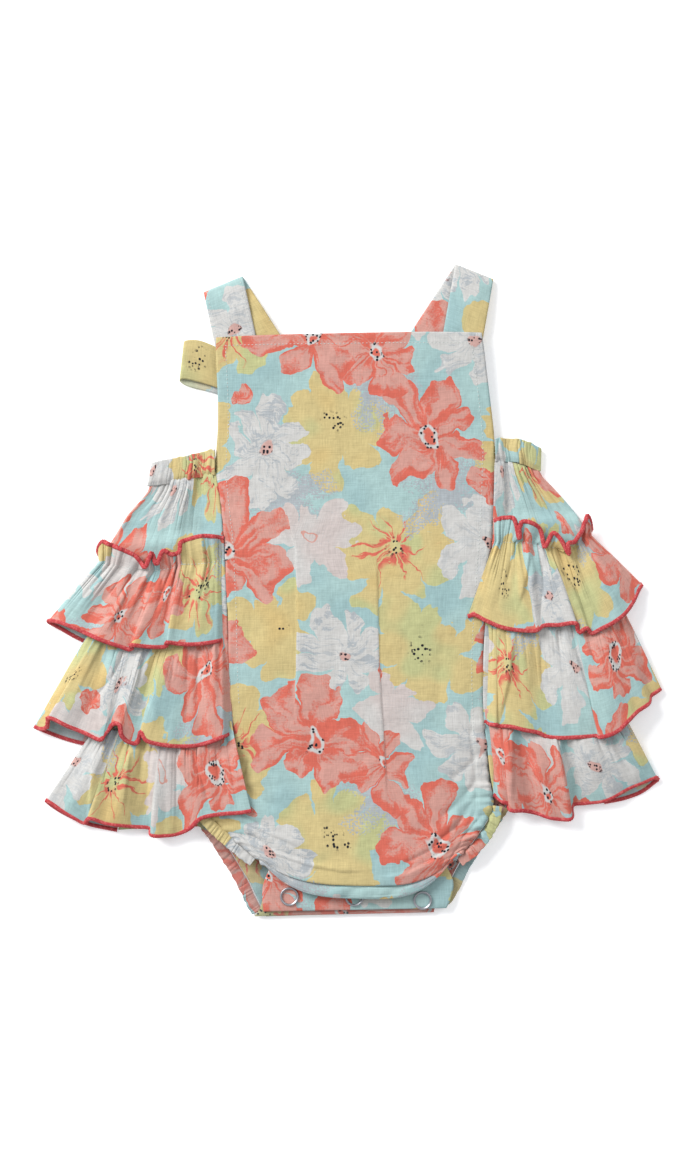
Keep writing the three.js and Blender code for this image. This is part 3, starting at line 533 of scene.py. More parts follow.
# the front panel, bib and body in one
frontPanel = dict(
    # left x y, right x y, sag of the middle, height of the middle and of the edges
    sections=[
        (-76.4, 146.4, 77.0, 149.2, -1.2, 6.8, 6.5), (-76.6, 138, 78.4, 139, -0.4, 6.9, 6.4),
        (-76.0, 124, 80.2, 124, 0, 6.8, 5.8), (-75.4, 106, 82.4, 106, 0, 6.7, 5.2),
        (-75.6, 92, 84.0, 92, 0, 6.6, 4.8), (-76.4, 80, 84.4, 82, 0, 6.5, 4.7),
        (-76.0, 66, 84.0, 70, 0, 6.5, 5.0), (-74.0, 50, 83.6, 52, 0, 6.5, 5.5),
        (-72.0, 30, 83.0, 34, 0, 6.9, 6.4), (-71.0, 10, 81.0, 12, 0, 7.7, 7.2),
        (-70.0, -10, 79.4, -10, 0, 8.0, 7.2), (-69.5, -30, 78.0, -30, 0, 8.0, 7.2),
        (-68.6, -56, 77.6, -56, 0, 8.0, 7.2), (-66.4, -82, 78.6, -82, 0, 7.9, 7.2),
        (-66.4, -98, 80.4, -98, 0, 7.9, 7.1), (-71.0, -111, 81.4, -110, 0, 8.0, 7.0),
        (-76.6, -122, 82.4, -118, 1, 8.3, 6.9), (-79.0, -129, 81.4, -126, 2, 8.6, 6.8),
        (-73.0, -136, 77.4, -134, 4, 9.0, 6.8), (-64.8, -143, 72.0, -142, 8, 9.5, 7.0),
        (-56.4, -150, 66.0, -149, 12, 9.8, 7.4), (-50.6, -155, 60.6, -154, 16, 9.8, 7.7),
        (-48.4, -157.6, 58.8, -156.2, 18.8, 9.3, 7.5), (-47.8, -158.6, 58.2, -157, 19.4, 8.1, 6.9),
        (-48.2, -157.4, 58.6, -156, 18.0, 6.9, 6.2), (-49.4, -154, 59.6, -152.6, 13, 6.5, 6.0)],
    squareness=3.4, sagLean=0.12,  # how square the sagging middle is, and how much deeper at the right
    creases=[
        ([(-62, -138), (-52, -145), (-42, -149.5), (-26, -154.5), (-10, -158)], -1.5, 2.0, 3),
        ([(-60, -134), (-48, -140), (-36, -144), (-22, -149)], 0.9, 3.2, 0),
        ([(-56, -146), (-40, -152), (-22, -158), (-4, -161), (12, -161)], 1.1, 3.0, -1),
        ([(-66, -132), (-50, -139), (-34, -146), (-24, -151)], -1.6, 1.4, 3),
        ([(16, -165), (34, -163), (50, -155), (64, -143), (74, -130)], 1.2, 3.6, 1),
        ([(30, -158), (46, -150), (60, -139)], -1.3, 1.3, 3),
        ([(64, -136), (54, -145), (40, -152), (26, -156)], 0.8, 3.5, 0),
        ([(74, -118), (62, -136), (46, -148)], -1.9, 1.9, 3),
        ([(76, -106), (66, -120), (52, -132)], -1.7, 1.9, 3),
        ([(78, -128), (68, -140), (56, -150)], -1.6, 1.5, 3),
        ([(77, -92), (68, -102), (58, -110)], -1.0, 1.6, 3),
        ([(-72, -116), (-60, -130), (-42, -140)], -1.6, 2, 3),
        ([(-76, -126), (-62, -138), (-46, -147)], -1.7, 1.8, 3),
        ([(-66, -108), (-54, -118), (-40, -126)], -1.0, 2, 3),
        ([(66, -126), (56, -138), (40, -148)], 1.1, 4, 0),
        ([(60, 118), (44, 108), (30, 92)], -0.3, 4, 0), ([(-60, 70), (-40, 64), (-18, 62)], -0.3, 4, 0),
        ([(46, 60), (38, 40), (36, 18)], -0.5, 3, 3), ([(-58, 20), (-56, -10), (-57, -44)], -0.4, 3, 3),
        ([(56, -20), (52, -50), (54, -84)], -0.5, 3, 3), ([(-8, 10), (-8, -30), (-6, -72)], -0.35, 4, 3)],
    # the two long pleats: their folded edges down the cloth, the cloth each hides, the side that lies on top
    # and where they would run as shares of the width
    pleats=[
        dict(edge=[(-36.4, 50), (-33.4, 36), (-30.6, 25), (-29.9, -17), (-30.5, -52), (-31.8, -84)],
             hides=10.0, over=1, share=0.29),
        dict(edge=[(15.8, 26), (16.5, 14), (17.7, -40), (18.9, -63), (21.2, -98), (22.9, -129)],
             hides=9.0, over=-1, share=0.615),
    ],
    splits=[0, 46, 96, 150],  # columns of the cloth, parted at the pleats
    hangRow=20.9, hangHides=9.0,  # the hanging fold near the crotch, as a row of sections
    roundEdge=22.5,  # from this row on the cloth turns under
)
frontColumns = frontPanel["splits"][-1]

def frontSurface(j, t):
    # j is a row of sections, t runs from the left edge to the right one
    s = through(frontPanel["sections"], j)
    lx, ly, rx, ry, sag, mid, edge = (s[..., k] for k in range(7))
    side = np.abs(2 * t - 1)
    drop = sag * (1 - side ** frontPanel["squareness"]) * (1 + frontPanel["sagLean"] * (2 * t - 1))
    return np.stack([lx + (rx - lx) * t, ly + (ry - ly) * t - drop, mid + (edge - mid) * side**3], -1)

def pleatPlace(pleat, y):
    # the folded edge's x, how far the pleat is closed there, and how far the columns may leave it
    edge = np.array(pleat["edge"])
    top, foot = -edge[0, 1], -edge[-1, 1]
    drawn = smooth(-y, top, top + 24) * (1 - smooth(-y, foot - 34, foot))
    loose = np.maximum(1 - smooth(-y, top - 40, top), smooth(-y, foot, foot + 40))
    return np.interp(-y, -edge[:, 1], edge[:, 0]), drawn, loose

def frontGrid():
    # rows and columns of the cloth, two close together at each fold that hides some
    last, hang = len(frontPanel["sections"]) - 1, frontPanel["hangRow"]
    rows = np.concatenate([np.linspace(0, hang - 0.02, 232), np.linspace(hang + 0.02, last, 38)])
    j = rows[:, None]
    s = through(frontPanel["sections"], j)
    knots = [0 * j]
    for pleat in frontPanel["pleats"]:
        x, _, loose = pleatPlace(pleat, frontSurface(j, pleat["share"] + 0 * j)[..., 1])
        knots.append(blend((x - s[..., 0]) / (s[..., 2] - s[..., 0]), pleat["share"], loose))
    knots.append(0 * j + 1)
    splits = frontPanel["splits"]
    t = np.concatenate([np.linspace(0, 1, splits[k + 1] - splits[k]) * (knots[k + 1] - knots[k] - 0.003)
                        + knots[k] + 0.0015 for k in range(3)], 1)
    t[:, 0], t[:, -1] = 0, 1
    return rows, t

def frontFolds(rows, t, base, cut, down):
    # takes up the cloth that the pleats and the hanging fold hide, and lifts their edges
    lift = 0 * t
    for pleat, first in zip(frontPanel["pleats"], frontPanel["splits"][1:]):
        x, drawn, _ = pleatPlace(pleat, base[..., 1])
        right = (np.arange(frontColumns) >= first)[None, :]
        off = np.abs(base[..., 0] - x)
        cut[..., 0] += np.where(right, 0.5, -0.5) * pleat["hides"] * drawn * np.exp(-((off / 42) ** 2))
        onTop = right == (pleat["over"] > 0)
        lift += drawn * np.where(onTop, 0.42 * np.exp(-off / 14), -0.12 * np.exp(-off / 2.4))
    hang = down - np.interp(frontPanel["hangRow"], rows, down[:, 0])
    across = 1 - smooth(np.abs(2 * t - 1), 0.72, 1.0)
    cut[..., 1] -= (np.where(hang > 0, 0.5, -0.5) * frontPanel["hangHides"] * across
                    * np.exp(-((hang / 30) ** 2)))
    uneven = 1 + 0.45 * wander(t * frontColumns, 26, 19)
    aboveFold = 0.4 * np.exp(hang / 5) - 0.3 * np.exp(hang / 0.9)
    lift += across * uneven * np.where(hang > 0, -1.7 * np.exp(-hang / 2.0), aboveFold)
    lift += across * smooth(hang, 0, 2) * 0.6 * wander(t * frontColumns + hang * 1.6, 11, 20)
    return lift

def frontPuckers(j, t, y, down):
    lift = 0 * t
    # puckers that run in from the leg openings' elastic
    for seed, begins, inward in ((11, 88, t), (12, 66, 1 - t)):
        legSide = smooth(-y, begins, begins + 14) * (1 - smooth(j, 20.6, 22))
        reach = inward * frontColumns
        pucker = (1.5 * wander(down + 0 * t, 2.3, seed) * np.exp(-reach / 6.5)
                  + 1.3 * wander(down + reach * 0.12, 4.2, seed + 2) * np.exp(-reach / 12)
                  + 1.0 * wander(down + reach * 0.2, 8.5, seed + 4) * np.exp(-reach / 24))
        lift += legSide * (np.maximum(pucker, -1.1) - 0.7 * np.exp(-((reach - 8) / 1.1) ** 2))
    # light puckers along the side seams, where the gathered panels pull
    for inward in (t, 1 - t):
        seamSide = smooth(-y, -66, -50) * (1 - smooth(-y, 80, 100))
        lift += seamSide * 0.45 * wander(down + 40 * t, 4, 17) * np.exp(-inward * frontColumns / 6)
    return lift

def frontShape():
    rows, t = frontGrid()
    j = rows[:, None] + 0 * t
    base = frontSurface(j, t)
    x, y = base[..., 0], base[..., 1]
    down = along(base[:, frontColumns // 2])[:, None]
    cut = paired(x * 1.03, 150 - down)
    folds = frontFolds(rows, t, base, cut, down)
    lift = creases(base, frontPanel["creases"]) * (j < frontPanel["roundEdge"]) + folds
    lift += smooth(-y, -30, 60) * (j < 22) * 0.55 * crumple(x, y, 16, 3)
    lift += 0.16 * crumple(x, y, 11, 4) * (j < 22)
    lift += frontPuckers(j, t, y, down)
    points = base + facingUp(base) * (lift * (j < frontPanel["roundEdge"]))[..., None]
    points[..., 2] = np.maximum(points[..., 2], base[..., 2] - np.where(y < -140, 2.8, 1.4))
    for edge, outward in ((0, -1), (-1, 1)):  # the seams turn down to meet their neighbours
        sewn = smooth(j[:, 0], 4.8, 5.6) * (1 - smooth(j[:, 0], 16, 17))
        byLeg = smooth(j[:, 0], 15.5, 16.5) * (1 - smooth(j[:, 0], 21.5, 22.5))
        points[:, edge, 0] += outward * (0.42 * sewn + 1.1 * byLeg)
        points[:, edge, 1] -= 0.8 * byLeg
        points[:, edge, 2] -= 1.1 * sewn + 0.3 * byLeg
    return rows, points, cut

frontRows, frontPoints, frontCut = frontShape()
cloth("front_panel", frontPoints, frontCut)

def onFront(rowsAt, columnsAt, rise=0.32):
    # points on the front panel's finished surface, from rows of sections and column numbers
    r = np.interp(rowsAt, frontRows, np.arange(len(frontRows)))
    c = np.clip(columnsAt, 0, frontColumns - 1)
    i, k = np.minimum(r.astype(int), len(frontRows) - 2), np.minimum(c.astype(int), frontColumns - 2)
    a, b = (r - i)[:, None], (c - k)[:, None]
    upper, lower = (blend(frontPoints[row, k], frontPoints[row, k + 1], b) for row in (i, i + 1))
    return blend(upper, lower, a) + [0, 0, rise]

print("front panel")

# the gathered side panels
# sections: seam end x y, side fold x y, how high the gathers stand. ramp: from which y to which y the back
# under the panel rises. outward: the way from the seam. printStart: x in the flat cloth.
sidePanels = {
    "left": dict(outward=-1, ramp=(36, 26), printStart=140, sections=[
        (-77.0, 66.4, -114.2, 59.8, 0.5), (-75.6, 58, -120, 52.5, 0.8), (-74.4, 48, -127.5, 44, 0.8),
        (-73.4, 38, -133, 35, 0.6), (-72.8, 28, -138, 26, 0.3), (-72.0, 16, -142, 16, 0),
        (-71.0, -4, -145, -4, 0), (-70.3, -24, -147.8, -24, 0), (-69.4, -50, -148.4, -52, 0),
        (-67.2, -80, -145.2, -80, 0), (-68.6, -102, -134, -100, 0), (-76.8, -118, -112, -116, 0),
        (-82.4, -128, -96, -127, 0)]),
    "right": dict(outward=1, ramp=(47.5, 37.5), printStart=60, sections=[
        (85.0, 74, 109.4, 68.6, 0.5), (84.8, 62, 118, 60, 0.8), (84.4, 50, 127, 50, 0.8),
        (84.1, 40, 133.2, 42, 0.5), (83.8, 29, 138.2, 32, 0), (82.0, 12, 145, 14, 0),
        (80.2, -10, 155.2, -7, 0), (78.6, -34, 158, -34, 0), (78.2, -56, 158, -56, 0),
        (78.6, -72, 155.8, -68, 0), (80.6, -90, 144, -92, 0), (82.4, -106, 122, -108, 0),
        (84.4, -117, 100, -118, 0)]),
}
sideRise, backLevel, turnUnder = 2.4, 3.3, 6.0
sideWidth = 118  # of the flat cloth

def backHeight(y, ramp):
    return wall + (backLevel - wall) * smooth(-np.asarray(y, float), -ramp[0], -ramp[1])

def sidePanel(side, rows=72, across=150):
    plan = sidePanels[side]
    outward = plan["outward"]
    s = spread(plan["sections"], rows)
    ix, iy, ox, oy, ease = (s[:, k:k + 1] for k in range(5))
    low = backHeight((iy + oy) / 2, plan["ramp"])
    fold = sideRise / 2
    length = np.abs(ox - ix) - fold
    t = np.linspace(0, 1, across)[None, :]
    x = ix + outward * length * t
    y = iy + (oy - iy) * t
    z = low + sideRise + 0 * t
    fromTop = along(np.concatenate([ix, iy], 1))[:, None]
    run = t * 64
    full = 0.25 + np.sin(np.pi * np.clip(t * 1.02, 0, 1)) ** 0.5 * 0.75
    puckers = (1.3 * wander(run, 2.2, 21) * np.exp(-fromTop / 9)
               + 1.9 * wander(run, 4.4, 22) * np.exp(-((fromTop / 26) ** 2))
               + 1.1 * wander(run + fromTop * 0.12, 8, 23)
               - 1.0 * np.exp(-np.abs(wander(run, 3.4, 24)) * 9) * np.exp(-fromTop / 24))
    z = z + full * smooth(ease, -0.05, 0.5) * np.maximum(puckers, -1.2)
    # up to the front panel's edge at the seam
    seamHeight = np.interp(-y[:, :1], [-92, -80, -66, -50, -30, -10], [4.8, 4.7, 5.0, 5.5, 6.4, 7.2])
    z = z + np.maximum(seamHeight - 0.5 - z, 0) * (1 - smooth(np.abs(x - ix), 0, 9))
    centre = ix + outward * length
    a = np.linspace(0, np.pi, 14)[None, 1:]
    nose = [centre + outward * fold * np.sin(a), oy + 0 * a, low + fold + fold * np.cos(a)]
    tuck = np.linspace(0, 1, 8)[None, 1:]
    under = [centre - outward * turnUnder * tuck, oy + 0 * tuck, low + 0 * tuck]
    points = np.stack([np.concatenate(parts, 1) for parts in zip((x, y, z), nose, under)], -1)
    points[:, 0, 0] -= outward * 0.6  # into the front seam
    points[0, :, 1] += 2.6  # and up under the waist casing
    points[1, :, 1] += 1.3
    points[..., 2] -= 1.5 * (1 - smooth(fromTop, 0, 6)) * smooth(points[..., 2], 3.6, 5.4)
    cutX = np.linspace(0, 1, points.shape[1])[None, :] * sideWidth * outward + plan["printStart"]
    cloth(f"side_panel_{side}", points, paired(cutX, 150 - fromTop))

for side in sidePanels:
    sidePanel(side)
print("side panels")

# the back panel, which runs on below the side panels to the crotch
backPanel = dict(
    # left x y, right x y, height
    crotch=[
        (-80.4, -131.2, 86.2, -123.4, 3.3), (-78.0, -136.4, 80.0, -133, 3.3),
        (-73.4, -142.4, 74.6, -141.4, 2.2), (-67.6, -151.6, 67.6, -151.4, 0.5),
        (-61.6, -161.6, 61.8, -161.6, 0.5), (-57.4, -168.4, 57.6, -169.8, 0.5),
        (-53.2, -177.4, 51.6, -177.2, 0.5), (-49.6, -184.6, 49.2, -180.6, 0.5),
        (-47.8, -188.6, 47.8, -185.4, 0.5)],
    printStart=(77.0, 60.0),
)

def backPanelCloth():
    ends = []
    for side, seam in (("left", 0.6), ("right", -0.6)):
        plan = sidePanels[side]
        s = spread(plan["sections"], 60)
        x = s[:, 2] - plan["outward"] * (sideRise / 2 + turnUnder) + seam
        ends.append(np.stack([x, s[:, 3], backHeight((s[:, 1] + s[:, 3]) / 2, plan["ramp"])], 1))
    tail = spread(backPanel["crotch"], 48)
    left = np.concatenate([ends[0], tail[:, [0, 1, 4]]])
    right = np.concatenate([ends[1], tail[:, [2, 3, 4]]])
    t = np.linspace(0, 1, 60)[None, :, None]
    points = blend(left[:, None], right[:, None], t)
    y = points[..., 1]
    edgeIn = np.minimum(t, 1 - t)[..., 0] * 90
    pull = wander(y * 1.2, 3.4, 31) * np.exp(-edgeIn / 6) + 0.5 * wander(y, 8, 32)
    points[..., 2] += np.maximum(smooth(-y, 126, 150) * 0.35 * pull, -0.1)
    cloth("back_panel", points, points[..., :2] * (-1.0, 1.0) + backPanel["printStart"], fromInside=True)

backPanelCloth()

# flat bands. sections: left x y, right x y, height
bands = {
    "snap_band_back": dict(rows=24, seed=41, thick=1.3, printStart=(184, 337), fromInside=True,
                           sections=[
                               (-49, -168, 54, -167, 2.0), (-49.6, -177, 50.8, -176, 2.0),
                               (-51.4, -184, 50, -182.6, 2.0), (-54.4, -188.3, 49.4, -186, 2.0)]),
    "snap_band_front": dict(rows=30, seed=42, thick=1.3, printStart=(64, 66), fromInside=False,
                            sections=[
                                (-45.6, -160, 56, -158, 3.7), (-49.4, -170, 60.6, -168, 3.7),
                                (-49.8, -178, 59.6, -177, 3.7), (-49.2, -185.4, 56.6, -183.4, 3.7)]),
    "waist_casing_back": dict(rows=14, seed=43, thick=1.4, printStart=(0, 0), fromInside=False,
                              sections=[
                                  (-98.6, 76.2, 98.6, 84.4, 0.8), (-99.6, 61.2, 97.6, 70, 0.8)]),
}

def band(node):
    plan = bands[node]
    rows = plan["rows"]
    s = spread(plan["sections"], rows)
    t = np.linspace(0, 1, 100)[None, :, None]
    points = blend(s[:, None, [0, 1, 4]], s[:, None, [2, 3, 4]], t)
    inner = np.minimum(t, 1 - t)[..., 0]
    points[..., 2] += 0.22 * crumple(points[..., 0], points[..., 1], 9, plan["seed"]) * smooth(inner, 0, 0.05)
    v = np.linspace(0, 1, rows)[:, None]
    rim = 0.55 + 0.45 * smooth(np.minimum(v, 1 - v) * rows, 0, 3)
    body = plan["thick"] * rim * (0.6 + 0.4 * smooth(inner, 0, 0.02))
    cloth(node, points, points[..., :2] + plan["printStart"], plan["fromInside"], body)

band("snap_band_back")
band("snap_band_front")
print("back and bands")

# elastic casings at the waist. places: top edge x y, bottom edge x y, height
waistCasings = {
    "left": dict(printStart=(4, 32), places=[
        (-77.2, 82.2, -77.2, 67.2, 3.8), (-84, 80.6, -84, 66.2, 3.8), (-92, 78.6, -92, 64.6, 3.8),
        (-100, 77, -100, 63, 3.8), (-107, 75.8, -108.4, 61.4, 3.8), (-112, 74.6, -114.4, 60.8, 3.6),
        (-113.2, 74.2, -115.7, 60.7, 3.1), (-113.6, 74, -116.1, 60.6, 2.3),
        (-113.2, 74, -115.7, 60.6, 1.4), (-112, 74.2, -114.4, 60.6, 0.8), (-106, 75, -107, 60.6, 0.8),
        (-99, 76, -100, 61, 0.8)]),
    "right": dict(printStart=(205, 230), places=[
        (85, 88.4, 85, 75, 3.8), (92, 88.2, 92, 74.8, 3.8), (100, 87.6, 100, 73.6, 3.8),
        (106, 85.4, 105.4, 71.4, 3.8), (109.6, 83.4, 109.2, 69.8, 3.6), (110.8, 82.8, 110.4, 69.5, 3.1),
        (111.2, 82.4, 110.8, 69.4, 2.3), (110.8, 82.4, 110.4, 69.4, 1.4),
        (109.6, 82.6, 109.2, 69.4, 0.8), (105, 83.4, 104, 69.6, 0.8), (99, 84.4, 98, 70, 0.8)]),
}
waistGathers = 2.1  # mm of cloth in one mm of casing

def waistCasing(side):
    plan = waistCasings[side]
    s = spread(plan["places"], 260)
    v = np.linspace(0, 1, 20)[:, None]
    foot = s[:, [2, 3, 4]]
    points = blend(s[None][..., [0, 1, 4]], foot[None], v[..., None])
    run = along(foot)[None, :]
    onTop = smooth(points[..., 2], 2.4, 3.7)
    calm = 1 - 0.65 * smooth(run, 17, 27)
    ridges = calm * (1.1 * np.abs(wander(run + 0.6 * np.sin(v * 5), 1.8, 51))
                     + 0.6 * wander(run + v * 2.2, 3.4, 52)
                     + 0.3 * wander(run * 1.3 - v * 3, 2.1, 53)) + 0.5 * np.sin(np.pi * v) - 0.2
    points[..., 2] += onTop * np.maximum(ridges, -0.3)
    points[..., 1] += onTop * calm * (0.4 * wander(run, 2.6, 54) * (1 - smooth(v, 0, 0.3))
                                      + 0.45 * wander(run, 2.6, 55) * smooth(v, 0.75, 1))
    points[..., 2] += 0.7 * (1 - smooth(run, 0, 5)) - 0.9 * smooth(v, 0.75, 1) * onTop  # to the front seam
    x, y = plan["printStart"]
    cloth(f"waist_casing_{side}", points, paired(run * waistGathers + x, y - 15 * v), thick=1.1)

for side in waistCasings:
    waistCasing(side)
band("waist_casing_back")

# elastic casings at the legs. edge: the opening's edge x y and its height
legCasings = {
    "front_left": dict(seed=61, edge=[
        (-86.6, -132.4, 6.4), (-79, -140.4, 6), (-70, -148.2, 5.8), (-62, -154.8, 5.9), (-57, -158.6, 6)]),
    "front_right": dict(seed=68, edge=[
        (88.8, -124.4, 6.4), (88, -131, 6.2), (84.6, -138.6, 6), (79.2, -146.8, 5.8),
        (72.8, -153.6, 5.7), (65.8, -158.6, 5.6)]),
    "back_left": dict(seed=75, printStart=(72, 196), edge=[
        (-88.2, -134.2, 3), (-84, -139.2, 2.9), (-79.6, -145.2, 2.1), (-74, -154.4, 0.8),
        (-68, -164.2, 0.8), (-64, -171, 0.8), (-60, -179.8, 0.8), (-56, -187.4, 0.8)]),
    "back_right": dict(seed=82, printStart=(158, 232), edge=[
        (92.6, -126.2, 3), (86.4, -136, 2.9), (80.8, -144.4, 2.1), (74, -154.4, 0.8), (68, -164.6, 0.8),
        (63.6, -173.2, 0.8), (59.6, -180.2, 0.8), (54.6, -184, 0.8)]),
}
legCasingWidth = 6.4

def legCasing(part):
    plan = legCasings[part]
    seed, onFrontSide = plan["seed"], part.startswith("front")
    edge = spread(plan["edge"], 190)
    way = np.gradient(edge, axis=0)
    way /= np.linalg.norm(way[:, :2], axis=1, keepdims=True)
    inward = np.stack([way[:, 1], -way[:, 0], 0 * way[:, 0]], 1) * np.sign(edge[0, 0])
    v = np.linspace(0, 1, 16)[:, None]
    points = edge[None] + inward[None] * legCasingWidth * v[..., None]
    run = along(edge)[None, :]
    ridges = (1.0 * np.abs(wander(run + v * 0.8, 1.6, seed)) + 0.4 * wander(run - v, 3.0, seed + 1)
              + 0.4 * np.sin(np.pi * v))
    ends = 0.25 + 0.75 * smooth(run, 0, 7) * (1 - smooth(run, run.max() - 9, run.max() - 1))
    points[..., 2] += ridges * (0.6 * ends if onFrontSide else 0.5) * (1 - 0.85 * smooth(v, 0.75, 1))
    wavy = 0.35 * wander(run, 1.9, seed + 2) * (1 - smooth(v, 0, 0.35))
    points[..., :2] += inward[None, :, :2] * wavy[..., None]
    if onFrontSide:
        points[..., 2] += 0.55 - 0.9 * smooth(v, 0.7, 1)
        cut = points[..., :2] * (1.03, 1.0)
        cut[..., 1] += 0.5 * np.sin(run / 1.4)
    else:
        x, y = plan["printStart"]
        cut = paired(run * 1.05 + x, 8 * v + y)
    cloth(f"leg_casing_{part}", points, cut, not onFrontSide, thick=0.9)

for part in legCasings:
    legCasing(part)
print("casings")
